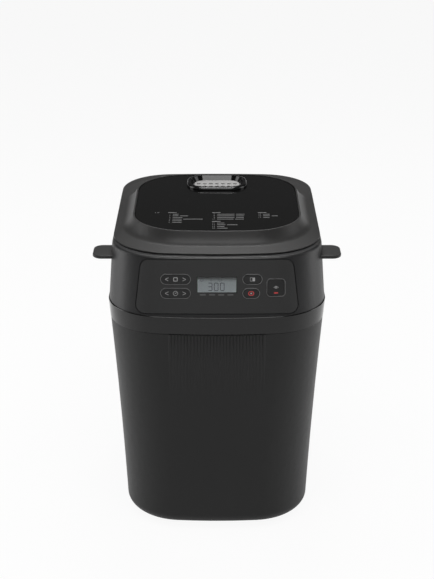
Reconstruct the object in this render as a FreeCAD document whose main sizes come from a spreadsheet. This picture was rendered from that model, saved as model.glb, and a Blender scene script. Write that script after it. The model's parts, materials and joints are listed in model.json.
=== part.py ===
"""Compact bread machine: a tapered bucket body, a sloped control housing, a hinged lid with a steam vent,
and inside it the oven chamber, bread pan, kneading paddle and belt drive.

Millimetres. +Z is up, the control panel faces -Y, and the origin is on the ground under the middle."""

import FreeCAD, Part
import Sketcher
import math
import os

from FreeCAD import Placement, Rotation, Vector

doc = FreeCAD.newDocument("BreadMachine")
sheet = doc.addObject("Spreadsheet::Sheet", "sizes")

# Driving dimensions: alias, millimetres (or a count), what it is.
SIZES = [
    ("foot_height", 5.0, "ground to the underside of the body"),
    ("foot_radius", 9.0, "rubber foot"),
    ("foot_inset_x", 50.0, "foot centre from the middle plane"),
    ("foot_inset_y", 100.0, "foot centre from the middle of the base"),
    ("body_front", 145.0, "front of the body at the trim band"),
    ("body_back", 145.0, "back of the body at the trim band"),
    ("body_half_width", 104.0, "half width of the body under the band"),
    ("body_mid_inset", 7.3, "how much narrower the body is half way down, each side"),
    ("body_foot_inset", 12.5, "how much narrower the body is at its foot, each side"),
    ("body_front_inset", 8.0, "how far the front and back lean in at the foot"),
    ("body_top", 215.8, "top of the body, where the band starts"),
    ("body_corner", 56.0, "plan corner radius of the body"),
    ("body_bow", 470.0, "plan radius of the bowed front"),
    ("back_bow", 900.0, "plan radius of the bowed back"),
    ("body_edge_round", 11.0, "round at the foot of the body"),
    ("body_inner_slant", 5.0, "slant inside the foot of the body"),
    ("wall", 2.5, "moulded wall"),
    ("seam", 0.4, "gap between moulded shells"),
    ("band_height", 17.7, "gloss trim band"),
    ("band_foot", 0.3, "how far the foot of the band stands out of the body"),
    ("band_step", 0.5, "band foot behind the front of the body"),
    ("band_proud", 1.8, "how far the top of the band stands out of the body"),
    ("band_round", 0.9, "round on the band's upper edge"),
    ("band_ledge", 0.9, "housing set back from the band's upper edge"),
    ("housing_height", 54.0, "band to the top deck of the housing"),
    ("housing_front_run", 16.6, "how far the control face leans back"),
    ("housing_side_run", 3.3, "how far the sides lean in above the band"),
    ("housing_corner", 52.0, "plan corner radius at the top deck"),
    ("housing_split", 92.0, "seam between control housing and collar, in front of the middle"),
    ("deck", 3.0, "thickness of the top deck"),
    ("deck_round", 3.0, "round at the edge of the top deck"),
    ("lid_gap", 0.6, "lid above the deck"),
    ("lid_side", 3.0, "lid flange inside the body's half width"),
    ("lid_front", 121.2, "front edge of the lid"),
    ("lid_back", 125.0, "back edge of the lid"),
    ("lid_corner", 58.0, "plan corner radius of the lid"),
    ("lid_flange", 2.4, "thickness of the lid flange"),
    ("lid_edge_round", 0.4, "round at the lid flange's edge"),
    ("lid_fall", 1.4, "how much the flange falls from the hump to its edge"),
    ("hump_round", 0.8, "round on the rim of the hump"),
    ("hump_rise", 12.0, "lid flange to the top of the lid"),
    ("hump_side_flat", 5.2, "flat flange beside the hump"),
    ("hump_front_flat", 13.5, "flat flange in front of the hump"),
    ("hump_back_flat", 21.4, "flat flange behind the hump"),
    ("hump_run", 12.7, "plan width of the hump's hollow slope"),
    ("hump_corner", 66.0, "plan corner radius of the hump's foot"),
    ("lid_wall", 3.0, "lid frame wall"),
    ("panel_rim", 2.2, "rim of the hump round the gloss panel"),
    ("panel_thick", 3.0, "gloss lid panel"),
    ("panel_sink", 0.5, "gloss panel below the rim"),
    ("panel_gap", 0.7, "groove round the gloss panel"),
    ("vent_back", 58.0, "vent centre behind the middle"),
    ("vent_width", 63.0, "vent bezel"),
    ("vent_depth", 49.0, "vent bezel"),
    ("vent_corner", 19.6, "plan corner radius of the vent bezel"),
    ("vent_lip", 7.5, "width of the bezel's ring"),
    ("vent_rise", 3.2, "bezel above the gloss panel"),
    ("vent_round", 2.2, "round on the bezel"),
    ("vent_flare", 4.5, "mouth of the bezel inside its outer edge"),
    ("vent_plate", 1.6, "vent grille plate"),
    ("vent_columns", 7, "holes across the grille"),
    ("vent_rows", 2, "holes along the grille"),
    ("vent_pitch_x", 6.4, "hole pitch across"),
    ("vent_pitch_y", 9.2, "hole pitch along"),
    ("vent_hole", 4.4, "hole diameter"),
    ("vent_fit", 0.3, "clearance round the grille and bezel"),
    ("tray_drop", 8.0, "lid's inner tray below the lid flange"),
    ("tray_wall", 1.2, "lid's inner tray"),
    ("tray_side", 11.9, "inner tray inside the lid's hollow at the sides"),
    ("tray_back", 7.7, "inner tray inside the lid's hollow at the back"),
    ("tray_corner", 30.0, "inner tray corner radius"),
    ("seal_width", 4.0, "lid seal"),
    ("seal_thick", 0.35, "lid seal"),
    ("hinge_back", 131.5, "hinge axis behind the middle"),
    ("hinge_drop", 3.6, "hinge axis below the top of the deck"),
    ("hinge_pin_radius", 2.0, "hinge pin"),
    ("hinge_clear", 0.05, "running clearance on the pin"),
    ("knuckle_radius", 4.2, "hinge knuckle"),
    ("knuckle_length", 22.0, "lid knuckle"),
    ("ear_length", 8.0, "collar ear beside a knuckle"),
    ("knuckle_offset", 42.0, "knuckle centre from the middle plane"),
    ("knuckle_gap", 0.4, "side gap between knuckle and ear"),
    ("hinge_pocket", 8.8, "pocket for a knuckle, in front of and behind the hinge axis"),
    ("handle_reach", 16.7, "outer end of a carrying ear outside the body's half width"),
    ("handle_length", 31.5, "carrying ear, front to back"),
    ("handle_front", 88.0, "front edge of a carrying ear, in front of the middle"),
    ("handle_thick", 3.5, "carrying ear"),
    ("handle_drop", 15.5, "top of a carrying ear below the lid flange's top"),
    ("handle_round", 9.0, "plan corner of a carrying ear"),
    ("face_thick", 1.2, "control panel overlay"),
    ("face_gap", 0.8, "groove round the control panel"),
    ("face_top_side", 32.5, "control panel's upper corners inside the body's half width"),
    ("face_foot_side", 26.5, "control panel's lower corners inside the body's half width"),
    ("face_rise", 26.3, "panel's upper edge above the middle of the slope"),
    ("face_fall", 24.3, "panel's lower edge below the middle of the slope"),
    ("face_corner", 8.0, "control panel corner"),
    ("key_gap", 0.3, "gap round a key"),
    ("key_proud", 0.5, "key above the panel"),
    ("key_deep", 4.6, "key below the panel's surface"),
    ("rocker_width", 26.8, "two-way key"),
    ("key_height", 8.2, "pill key"),
    ("rocker_gap", 7.1, "two-way keys to the display window"),
    ("upper_key_y", 7.9, "upper keys above the middle of the slope"),
    ("lower_key_y", 5.3, "lower keys below the middle of the slope"),
    ("size_key_width", 17.0, "upper right key"),
    ("stop_key_width", 14.6, "lower right key"),
    ("right_key_gap", 6.5, "display window to the right keys"),
    ("start_key_width", 15.8, "start key"),
    ("start_key_height", 15.2, "start key"),
    ("start_key_gap", 5.8, "upper right key to the start key"),
    ("start_key_corner", 2.6, "start key corner"),
    ("lcd_width", 36.8, "display window"),
    ("lcd_height", 14.6, "display window"),
    ("lcd_corner", 0.8, "display window corner"),
    ("lcd_y", 2.7, "display centre above the middle of the slope"),
    ("lcd_lens", 1.0, "clear display lens"),
    ("lcd_glass", 2.2, "display module behind the lens"),
    ("mat_short", 2.6, "ends of the switch mat to the board's posts"),
    ("board_short", 10.15, "ends of the control board inside the middle between start key and side wall"),
    ("mat_gap", 2.45, "lowest key to the switch mat"),
    ("mat_thick", 1.2, "silicone switch mat"),
    ("board_thick", 1.6, "circuit board"),
    ("chamber_side", 20.0, "oven chamber inside the body's half width"),
    ("chamber_half_depth", 84.0, "outer half depth of the oven chamber"),
    ("chamber_back", 12.0, "chamber centre behind the middle"),
    ("chamber_corner", 26.0, "chamber corner radius"),
    ("chamber_sheet", 0.6, "chamber sheet steel"),
    ("chamber_floor", 62.0, "underside of the chamber floor"),
    ("chamber_flange", 4.0, "chamber flange under the deck"),
    ("heater_radius", 3.4, "tubular heating element"),
    ("heater_gap", 5.0, "element to chamber wall"),
    ("heater_rise", 44.0, "element above the chamber floor"),
    ("heater_legs", 26.0, "gap between the element's two legs"),
    ("pan_side", 22.0, "bread pan inside the chamber's half width"),
    ("pan_half_depth", 57.0, "bread pan"),
    ("pan_corner", 28.0, "bread pan"),
    ("pan_taper", 3.0, "how much narrower the pan is at its floor"),
    ("pan_wall", 1.6, "bread pan"),
    ("pan_height", 132.0, "bread pan"),
    ("pan_rim", 3.0, "rolled rim of the pan"),
    ("pan_floor", 84.0, "underside of the pan floor"),
    ("skirt_radius", 43.0, "locking skirt under the pan"),
    ("skirt_wall", 2.0, "locking skirt"),
    ("seat_height", 8.0, "pan seat on the chamber floor"),
    ("seat_wall", 4.0, "pan seat ring"),
    ("seat_clear", 0.4, "skirt inside its seat"),
    ("bail_radius", 2.2, "pan handle wire"),
    ("bail_reach", 45.0, "pan handle from its pivot"),
    ("bail_side", 5.0, "pan handle outside the pan wall"),
    ("bail_drop", 8.0, "pan handle pivot below the pan's rim"),
    ("bail_rest", 20.0, "degrees that the folded pan handle stands up"),
    ("pivot_radius", 2.0, "pan handle pivot"),
    ("pivot_clear", 0.1, "clearance on the pivot"),
    ("shaft_radius", 4.0, "drive shaft"),
    ("shaft_clear", 0.05, "running clearance on the shaft"),
    ("bush_radius", 8.0, "pan bush"),
    ("bush_below", 4.0, "pan bush below the pan floor"),
    ("bush_above", 8.0, "pan bush above the pan's underside"),
    ("paddle_hub", 8.5, "kneading paddle hub"),
    ("paddle_hub_height", 17.0, "kneading paddle hub"),
    ("paddle_reach", 42.0, "kneading paddle blade"),
    ("paddle_thick", 4.0, "kneading paddle blade"),
    ("paddle_height", 26.0, "kneading paddle blade"),
    ("dog_radius", 11.0, "drive dog"),
    ("dog_height", 8.0, "drive dog"),
    ("dog_floor", 2.0, "drive dog under its slot"),
    ("dog_gap", 2.0, "drive dog below the pan bush"),
    ("dog_slot", 5.0, "slot across the drive dog"),
    ("dog_clear", 0.3, "key in the drive dog's slot"),
    ("key_short", 1.0, "pan key's ends inside the drive dog"),
    ("chassis_top", 42.0, "upper face of the steel chassis"),
    ("chassis_sheet", 2.0, "chassis"),
    ("chassis_side", 32.0, "chassis inside the body's half width"),
    ("chassis_ahead", 12.0, "chassis in front of the motor's axis"),
    ("chassis_rear", 92.0, "chassis, behind the middle"),
    ("post_radius", 5.0, "chassis posts and chamber stand-offs"),
    ("post_side", 12.0, "posts inside the chassis"),
    ("post_front", 88.0, "front posts, in front of the middle"),
    ("post_rear", 78.0, "rear posts, behind the middle"),
    ("stand_off_y", 63.0, "chamber stand-offs in front of and behind the chamber's middle"),
    ("bearing_radius", 11.0, "bearing housing"),
    ("bearing_flange", 20.0, "bearing housing flange"),
    ("pulley_groove", 41.0, "driven pulley's groove radius"),
    ("motor_groove", 7.0, "motor pulley's groove radius"),
    ("pulley_flange", 3.0, "height of the pulleys' flanges"),
    ("pulley_width", 12.0, "pulleys"),
    ("pulley_lip", 2.0, "pulley flanges"),
    ("pulley_floor", 20.0, "underside of the pulleys"),
    ("shaft_tail", 2.0, "shafts below their pulleys"),
    ("belt_thick", 2.4, "drive belt"),
    ("belt_clear", 0.35, "belt to pulley, and belt to flange"),
    ("motor_radius", 25.0, "motor"),
    ("motor_height", 58.0, "motor"),
    ("motor_gap", 3.0, "motor in front of the chamber"),
    ("motor_shaft", 3.0, "motor shaft"),
    ("base_sheet", 3.0, "base plate plug, as thick as the body's lip"),
    ("base_flange", 2.0, "base plate flange on the body's lip"),
    ("base_lip", 14.0, "lip round the body's underside"),
    ("base_gap", 0.4, "base plate inside the lip"),
    ("power_board_height", 62.0, "power board"),
    ("transformer_width", 26.0, "transformer"),
    ("transformer_depth", 18.0, "transformer"),
    ("transformer_height", 22.0, "transformer"),
    ("capacitor_radius", 7.5, "capacitor"),
    ("capacitor_height", 25.0, "capacitor"),
    ("gland_height", 34.0, "cord gland above the ground"),
    ("gland_x", 20.0, "cord gland right of the middle"),
    ("gland_bore", 3.6, "cord passage radius"),
    ("gland_neck", 6.5, "gland in the body's wall"),
    ("gland_flange", 9.5, "gland flange"),
    ("gland_length", 16.0, "cord gland"),
    ("screw_radius", 1.6, "assembly screw"),
    ("screw_head", 3.2, "assembly screw head"),
]
for row, (alias, value, meaning) in enumerate(SIZES, start=1):
    sheet.set(f"A{row}", alias)
    sheet.set(f"B{row}", str(value))
    sheet.set(f"C{row}", meaning)
    sheet.setAlias(f"B{row}", alias)
doc.recompute()


def size(alias):
    return float(sheet.get(alias))


# Heights and places that follow from the driving dimensions, written as sheet expressions and as numbers.
BAND_TOP = "(sizes.body_top + sizes.band_height)"
DECK_TOP = f"({BAND_TOP} + sizes.housing_height)"
LID_FOOT = f"({DECK_TOP} + sizes.lid_gap)"
FLANGE_TOP = f"({LID_FOOT} + sizes.lid_flange)"
LID_TOP = f"({FLANGE_TOP} + sizes.hump_rise)"
CHAMBER_HALF = "(sizes.body_half_width - sizes.chamber_side)"
CHASSIS_HALF = "(sizes.body_half_width - sizes.chassis_side)"
MOTOR_FRONT = "(sizes.chamber_half_depth - sizes.chamber_back + sizes.motor_gap + sizes.motor_radius)"
DOG_FOOT = "(sizes.pan_floor - sizes.bush_below - sizes.dog_gap - sizes.dog_height)"

band_top = size("body_top") + size("band_height")
deck_top = band_top + size("housing_height")
lid_foot = deck_top + size("lid_gap")
flange_top = lid_foot + size("lid_flange")
lid_top = flange_top + size("hump_rise")
pan_rim_z = size("pan_floor") + size("pan_height")
drive_y = size("chamber_back")
chamber_half = size("body_half_width") - size("chamber_side")
chamber_deep = size("chamber_half_depth")
pan_half_width = chamber_half - size("pan_side")
motor_front = chamber_deep - drive_y + size("motor_gap") + size("motor_radius")
lid_half_width = size("body_half_width") - size("lid_side")
face_top_half = size("body_half_width") - size("face_top_side")
face_foot_half = size("body_half_width") - size("face_foot_side")
right_keys_edge = size("lcd_width") / 2 + size("right_key_gap") + size("size_key_width")
start_key_edge = right_keys_edge + size("start_key_gap") + size("start_key_width")
upper_front = size("body_front") - size("band_ledge")
past = 20.0  # how far cutting tools run past what they cut
least_flat = 0.02  # straight side that the ends of a pill keep between their corners

pieces = []


def keep(obj, label):
    """Marks an object as one sub-part of the machine, under the name that it is exported with."""
    obj.Label = label
    pieces.append(obj)
    return obj


def feature(label, shape):
    """A sub-part whose shape is worked out from the sheet's values, for lofts and swept tubes."""
    obj = doc.addObject("Part::Feature", label)
    obj.Shape = shape
    return keep(obj, label)


def primitive(kind, name, at=("0", "0", "0"), **sizes):
    """A Part primitive with each size and its place bound to the sheet."""
    obj = doc.addObject(kind, name)
    for prop, expression in sizes.items():
        obj.setExpression(prop, expression)
    for axis, expression in zip("xyz", at):
        obj.setExpression(f"Placement.Base.{axis}", expression)
    return obj


def cylinder(name, radius, height, at):
    return primitive("Part::Cylinder", name, at, Radius=radius, Height=height)


def block(name, length, width, height, at):
    return primitive("Part::Box", name, at, Length=length, Width=width, Height=height)


def cut(name, base, tool):
    obj = doc.addObject("Part::Cut", name)
    obj.Base = base
    obj.Tool = tool
    return obj


def fuse(name, *shapes):
    obj = doc.addObject("Part::MultiFuse", name)
    obj.Shapes = list(shapes)
    obj.Refine = True
    return obj


def group(name, shapes):
    """Separate solids that share one node."""
    obj = doc.addObject("Part::Compound", name)
    obj.Links = list(shapes)
    return obj


# Outlines in plan. Every outline has eight edges: bowed front and back, four corners and two straight sides.
def bowed_corner(half_width, front, bow, corner):
    """Where a bowed front runs into a corner arc: the meeting point, the arc's middle and its end."""
    across = half_width - corner
    middle = front + bow - math.sqrt((bow - corner) ** 2 - across**2)
    lean = math.atan2(middle - front - bow, across)
    meeting = (bow * math.cos(lean), front + bow + bow * math.sin(lean))
    half_way = (across + corner * math.cos(lean / 2), middle + corner * math.sin(lean / 2))
    return meeting, half_way, (half_width, middle)


def outline(half_width, front, back, corner, height, back_corner=None, bows=None):
    """A rounded plan outline at a height. front and back are distances from the middle, both positive."""
    bow, back_bow = bows or (size("body_bow"), size("back_bow"))
    f_meet, f_mid, f_end = bowed_corner(half_width, -front, bow, corner)
    b_meet, b_mid, b_end = bowed_corner(half_width, -back, back_bow, back_corner or corner)

    def point(xy, side=1, end=1):
        return Vector(side * xy[0], end * xy[1], height)

    def arc(a, b, c):
        return Part.Arc(a, b, c).toShape()

    def line(a, b):
        return Part.LineSegment(a, b).toShape()

    return Part.Wire([
        arc(point(f_meet, -1), Vector(0, -front, height), point(f_meet)),
        arc(point(f_meet), point(f_mid), point(f_end)),
        line(point(f_end), point(b_end, 1, -1)),
        arc(point(b_end, 1, -1), point(b_mid, 1, -1), point(b_meet, 1, -1)),
        arc(point(b_meet, 1, -1), Vector(0, back, height), point(b_meet, -1, -1)),
        arc(point(b_meet, -1, -1), point(b_mid, -1, -1), point(b_end, -1, -1)),
        line(point(b_end, -1, -1), point(f_end, -1)),
        arc(point(f_end, -1), point(f_mid, -1), point(f_meet, -1)),
    ])


def prism(wire, height):
    return Part.Face(wire).extrude(Vector(0, 0, height))


def loft(*wires, ruled=True):
    return Part.makeLoft(list(wires), True, ruled)


def rounded_rectangle(half_x, half_y, corner, height, centre_y=0.0, centre_x=0.0):
    """A rectangle with round corners, in plan, at a height."""
    corners = ((1, -1, -90), (1, 1, 0), (-1, 1, 90), (-1, -1, 180))
    edges = []
    previous = None
    first = None
    for sx, sy, start in corners:
        cx = centre_x + sx * (half_x - corner)
        cy = centre_y + sy * (half_y - corner)
        turned = [math.radians(start + step) for step in (0, 45, 90)]
        a, b, c = (Vector(cx + corner * math.cos(t), cy + corner * math.sin(t), height) for t in turned)
        if previous is not None:
            edges.append(Part.LineSegment(previous, a).toShape())
        else:
            first = a
        edges.append(Part.Arc(a, b, c).toShape())
        previous = c
    edges.append(Part.LineSegment(previous, first).toShape())
    return Part.Wire(edges)


# The body's skin, from its foot to the trim band, drawn in by an inset where an inner wall is wanted.
def body_section(inset, height):
    """The bucket's plan outline at a height: it narrows towards the foot, faster near the band."""
    foot, top = size("foot_height"), size("body_top")
    share = (top - height) / (top - foot)
    at_half, at_foot = size("body_mid_inset"), size("body_foot_inset")
    bulge = 4 * at_half - at_foot
    narrow = share * (bulge + share * (2 * at_foot - 4 * at_half))
    lean = size("body_front_inset") * share
    return outline(
        size("body_half_width") - narrow - inset,
        size("body_front") - lean - inset,
        size("body_back") - lean - inset,
        size("body_corner") - inset,
        height,
    )


def body_skin(inset, low, high):
    """The tapered bucket between two heights: three sections on one smooth surface."""
    half_way = (low + high) / 2
    return loft(*(body_section(inset, height) for height in (low, half_way, high)), ruled=False)


def rounded_foot(low, radius, steps=5):
    """The round at the foot of the body, from its flat underside up to the wall."""
    turns = [math.pi / 2 * step / steps for step in range(steps + 1)]
    return loft(*(
        body_section(radius * (1 - math.sin(turn)), low + radius * (1 - math.cos(turn))) for turn in turns
    ), ruled=False)


def upper_skin(inset, low=None, high=None):
    """The leaning skin above the band, between two heights, set back from the band's edge."""
    half_width = size("body_half_width") + size("band_proud") - size("band_ledge")

    def section(height):
        share = (height - band_top) / size("housing_height")
        return outline(
            half_width - share * size("housing_side_run") - inset,
            upper_front - share * size("housing_front_run") - inset,
            size("body_back") - size("band_ledge") - inset,
            size("body_corner") + share * (size("housing_corner") - size("body_corner")) - inset,
            height,
        )

    return loft(section(band_top if low is None else low), section(deck_top if high is None else high))


def edges_at(shape, height, tolerance=1e-3):
    """The edges that lie in one horizontal plane."""
    box = [(e, e.BoundBox) for e in shape.Edges]
    return [e for e, b in box if abs(b.ZMin - height) < tolerance and abs(b.ZMax - height) < tolerance]


def half_space(front, behind):
    """A large block that holds everything between two distances in front of and behind the middle."""
    span = 4 * (size("body_half_width") + past)
    return Part.makeBox(span, behind - front, 2 * lid_top, Vector(-span / 2, front, -past))


# Body, band and base
def make_body():
    foot = size("foot_height")
    top = size("body_top")
    bend = size("body_edge_round")
    outside = body_skin(0, foot + bend, top).fuse(rounded_foot(foot, bend))
    wall, slant = size("wall"), size("body_inner_slant")
    floor = foot + size("base_sheet")
    slope_in = loft(body_section(wall + slant, floor), body_section(wall, floor + slant))
    inside = body_skin(wall, floor + slant, top).fuse(slope_in)
    inset = size("body_foot_inset") + size("base_lip")
    opening = outline(
        size("body_half_width") - inset,
        size("body_front") - size("body_front_inset") - size("base_lip"),
        size("body_back") - size("body_front_inset") - size("base_lip"),
        size("body_corner") - size("base_lip"),
        foot - 1,
    )
    shell = outside.cut(inside).cut(prism(opening, size("base_sheet") + 2))
    hole = Part.makeCylinder(
        size("gland_neck") + size("seam") / 2,
        4 * past,
        Vector(size("gland_x"), size("body_back") - 3 * past, size("gland_height")),
        Vector(0, 1, 0),
    )
    return feature("outer_body", shell.cut(hole))


def make_band():
    """The gloss band: a flaring ring that caps the body and carries the shells above it."""
    low, high = size("body_top"), band_top

    def ring(proud, inset, height):
        return outline(
            size("body_half_width") + proud,
            size("body_front") - inset,
            size("body_back") - inset,
            size("body_corner") - inset,
            height,
        )

    outside = loft(
        ring(size("band_foot"), size("band_step"), low), ring(size("band_proud"), 0, high)
    )
    outside = outside.makeFillet(size("band_round"), edges_at(outside, high))
    wide = 2 * size("wall")
    return feature("trim_band", outside.cut(prism(ring(-wide, wide, low - past), high - low + 2 * past)))


def make_base():
    """Base plate: a plug that fills the body's opening and a flange that lies on its lip."""
    foot = size("foot_height")

    def plate(grow, height, thick):
        inset = size("base_lip") - grow
        return prism(
            outline(
                size("body_half_width") - size("body_foot_inset") - inset,
                size("body_front") - size("body_front_inset") - inset,
                size("body_back") - size("body_front_inset") - inset,
                size("body_corner") - inset,
                height,
            ),
            thick,
        )

    plug = plate(-size("base_gap"), foot, size("base_sheet"))
    overlap = size("base_lip") - size("body_edge_round") - size("base_gap")
    flange = plate(overlap, foot + size("base_sheet"), size("base_flange"))
    return feature("base_plate", plug.fuse(flange).removeSplitter())


def make_feet():
    feet = []
    for sx in (-1, 1):
        for sy in (-1, 1):
            feet.append(cylinder(
                f"foot_{'left' if sx < 0 else 'right'}_{'front' if sy < 0 else 'back'}",
                "sizes.foot_radius",
                "sizes.foot_height",
                (f"{sx} * sizes.foot_inset_x", f"{sy} * sizes.foot_inset_y", "0"),
            ))
    return keep(group("feet_group", feet), "feet")


# Control housing, collar and carrying ears
def deck_opening(grow=0.0):
    """The opening in the top deck that the oven chamber hangs in."""
    wide = size("seam") + grow
    corner = size("chamber_corner") + grow
    return rounded_rectangle(chamber_half + wide, chamber_deep + wide, corner, deck_top - 2 * past, drive_y)


def upper_shell():
    """The whole upper shell before it is split: leaning walls, a deck and the chamber's opening."""
    outside = upper_skin(0)
    outside = outside.makeFillet(size("deck_round"), edges_at(outside, deck_top))
    hollow = upper_skin(size("wall"), band_top - 1, deck_top - size("deck"))
    return outside.cut(hollow).cut(prism(deck_opening(), 3 * past))


slope_lean = math.degrees(math.atan2(size("housing_front_run"), size("housing_height")))
slope_middle = Vector(
    0, -upper_front + size("housing_front_run") / 2, band_top + size("housing_height") / 2
)
# Panel frame: x to the right, y up the slope, z out of the panel.
slope = Placement(slope_middle, Rotation(Vector(1, 0, 0), 90 - slope_lean))


def panel_prism(wire, depth=2 * past):
    """A column through the control face, square to it, from a flat outline drawn in the panel frame."""
    solid = Part.Face(wire).extrude(Vector(0, 0, depth))
    solid.translate(Vector(0, 0, -depth / 2))
    solid.Placement = slope.multiply(solid.Placement)
    return solid


def pill(width, height, x, y, corner=None):
    return rounded_rectangle(width / 2, height / 2, corner or (height - least_flat) / 2, 0, y, x)


def face_outline(grow=0.0):
    """The control panel's outline: wider at its foot, with round corners."""
    top, foot = face_top_half + grow, face_foot_half + grow
    rise, fall = size("face_rise") + grow, -size("face_fall") - grow
    corners = [Vector(-foot, fall), Vector(foot, fall), Vector(top, rise), Vector(-top, rise)]
    flat = Part.Face(Part.makePolygon(corners + corners[:1])).extrude(Vector(0, 0, 1))
    upright = [e for e in flat.Edges if abs(e.BoundBox.ZLength - 1) < 1e-6]
    rounded = flat.makeFillet(size("face_corner") + grow, upright)
    return next(f.OuterWire for f in rounded.Faces if abs(f.BoundBox.ZMax) < 1e-6)


def key_outline(name, grow=0.0):
    """Each key's outline in the panel frame, grown for the hole that it works in."""
    wide, high = 2 * grow, size("key_height") + 2 * grow
    left = -size("lcd_width") / 2 - size("rocker_gap") - size("rocker_width") / 2
    right = size("lcd_width") / 2 + size("right_key_gap")
    upper, lower = size("upper_key_y"), -size("lower_key_y")
    if name == "program_rocker":
        return pill(size("rocker_width") + wide, high, left, upper)
    if name == "timer_rocker":
        return pill(size("rocker_width") + wide, high, left, lower)
    if name == "size_button":
        return pill(size("size_key_width") + wide, high, right + size("size_key_width") / 2, upper)
    if name == "stop_button":
        return pill(size("stop_key_width") + wide, high, right + size("stop_key_width") / 2, lower)
    return pill(
        size("start_key_width") + wide,
        size("start_key_height") + wide,
        start_key_edge - size("start_key_width") / 2,
        0.0,
        size("start_key_corner") + grow,
    )


KEYS = ("program_rocker", "timer_rocker", "size_button", "stop_button", "start_button")


def lcd_outline(grow=0.0):
    width, height = size("lcd_width") + 2 * grow, size("lcd_height") + 2 * grow
    return pill(width, height, 0, size("lcd_y"), size("lcd_corner"))


def skin_layer(proud, deep):
    """The layer of the upper skin between a height above its surface and a depth below it."""
    over = size("housing_height") / 6
    return upper_skin(-proud, band_top - over, deck_top + over).cut(
        upper_skin(deep, band_top - 2 * over, deck_top + 2 * over)
    )


def make_control_housing(shell):
    front = half_space(-2 * size("body_front"), -size("housing_split") - size("seam") / 2)
    housing = shell.common(front)
    recess = panel_prism(face_outline(size("face_gap"))).common(skin_layer(size("wall"), size("face_thick")))
    housing = housing.cut(recess)
    for name in KEYS:
        housing = housing.cut(panel_prism(key_outline(name, 2 * size("key_gap"))))
    return feature("control_housing", housing.cut(panel_prism(lcd_outline(size("key_gap")))))


def make_control_panel():
    panel = panel_prism(face_outline()).common(skin_layer(0, size("face_thick")))
    for name in KEYS:
        panel = panel.cut(panel_prism(key_outline(name, size("key_gap"))))
    return feature("control_panel", panel.cut(panel_prism(lcd_outline(size("key_gap")))))


def make_keys():
    """The five keys; the answer is the lowest point of any of them in the panel frame."""
    layer = skin_layer(size("key_proud"), size("key_deep"))
    keys = [feature(name, panel_prism(key_outline(name)).common(layer)) for name in KEYS]
    into_panel = slope.inverse()
    return min(into_panel.multVec(corner.Point).z for key in keys for corner in key.Shape.Vertexes)


def panel_plate(wire, top, thick):
    """A flat plate parallel to the control panel, its upper face at a height in the panel frame."""
    solid = Part.Face(wire).extrude(Vector(0, 0, -thick))
    solid.translate(Vector(0, 0, top))
    solid.Placement = slope.multiply(solid.Placement)
    return solid


def make_display_and_board(lowest_key):
    """Display lens, module and riser, and behind the keys the switch mat and the board on its posts."""
    lens_top = -size("face_thick") / 2
    feature("display_lens", panel_plate(lcd_outline(), lens_top, size("lcd_lens")))
    module_top = lens_top - size("lcd_lens")
    feature("display_module", panel_plate(lcd_outline(-size("key_gap")), module_top, size("lcd_glass")))
    mat_top = lowest_key - size("mat_gap")
    board_half = (start_key_edge + size("body_half_width")) / 2 - size("board_short")
    half_x = board_half - 2 * size("screw_head") - size("mat_short")
    half_y = size("start_key_height")
    corner = size("face_corner") / 2
    mat = panel_plate(rounded_rectangle(half_x, half_y, corner, 0), mat_top, size("mat_thick"))
    feature("switch_mat", mat.cut(panel_prism(lcd_outline(2 * size("key_gap")))))
    board_top = mat_top - size("mat_thick")
    board = panel_plate(rounded_rectangle(board_half, half_y, corner, 0), board_top, size("board_thick"))
    feature("control_board", board)
    riser = module_top - size("lcd_glass") - board_top
    feature("display_riser", panel_plate(lcd_outline(-size("key_gap")), board_top + riser, riser))
    hollow = upper_skin(size("wall") + size("seam") / 2, band_top, deck_top - size("deck"))
    posts = []
    for sx in (-1, 1):
        for sy in (-1, 1):
            ring = Part.Wire([Part.Circle(
                Vector(sx * (board_half - size("screw_head")), sy * (half_y - size("screw_head")), 0),
                Vector(0, 0, 1),
                size("screw_head"),
            ).toShape()])
            posts.append(panel_plate(ring, past / 2, past / 2 - board_top).common(hollow))
    feature("board_posts", Part.makeCompound([p.Solids[0] for p in posts]))


def make_collar(shell):
    """The rear of the upper shell, with hinge lugs under its deck and pockets for the lid's knuckles."""
    rear = half_space(-size("housing_split") + size("seam") / 2, 2 * size("body_back"))
    collar = shell.common(rear)
    axis_z = deck_top - size("hinge_drop")
    radius = size("knuckle_radius")
    for sx in (-1, 1):
        centre = sx * size("knuckle_offset")
        reach = size("knuckle_length") / 2 + size("knuckle_gap")
        for side in (-1, 1):
            inner = centre + side * reach
            outer = inner + side * size("ear_length")
            collar = collar.fuse(hinge_lug(min(inner, outer), max(inner, outer), axis_z))
        room = size("hinge_pocket")
        pocket = Part.makeBox(
            2 * reach,
            2 * room,
            past,
            Vector(centre - reach, size("hinge_back") - room, axis_z - radius - size("knuckle_gap")),
        )
        collar = collar.cut(pocket)
    return feature("collar", collar.cut(hinge_bore(0, axis_z)).removeSplitter())


def hinge_bore(clear, axis_z):
    """The bore along the hinge axis, from the outer end of one pair of ears to the other's."""
    ears = size("knuckle_length") / 2 + size("knuckle_gap") + size("ear_length")
    reach = size("knuckle_offset") + ears
    start = Vector(-reach, size("hinge_back"), axis_z)
    return Part.makeCylinder(size("hinge_pin_radius") + clear, 2 * reach, start, Vector(1, 0, 0))


def hinge_lug(low, high, axis_z):
    """A lug under the deck, round below, that holds one end of a hinge pin."""
    radius = size("knuckle_radius")
    eye = Part.makeCylinder(radius, high - low, Vector(low, size("hinge_back"), axis_z), Vector(1, 0, 0))
    web = Part.makeBox(
        high - low,
        2 * radius,
        deck_top - axis_z - size("seam"),
        Vector(low, size("hinge_back") - radius, axis_z),
    )
    return eye.fuse(web)


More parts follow.
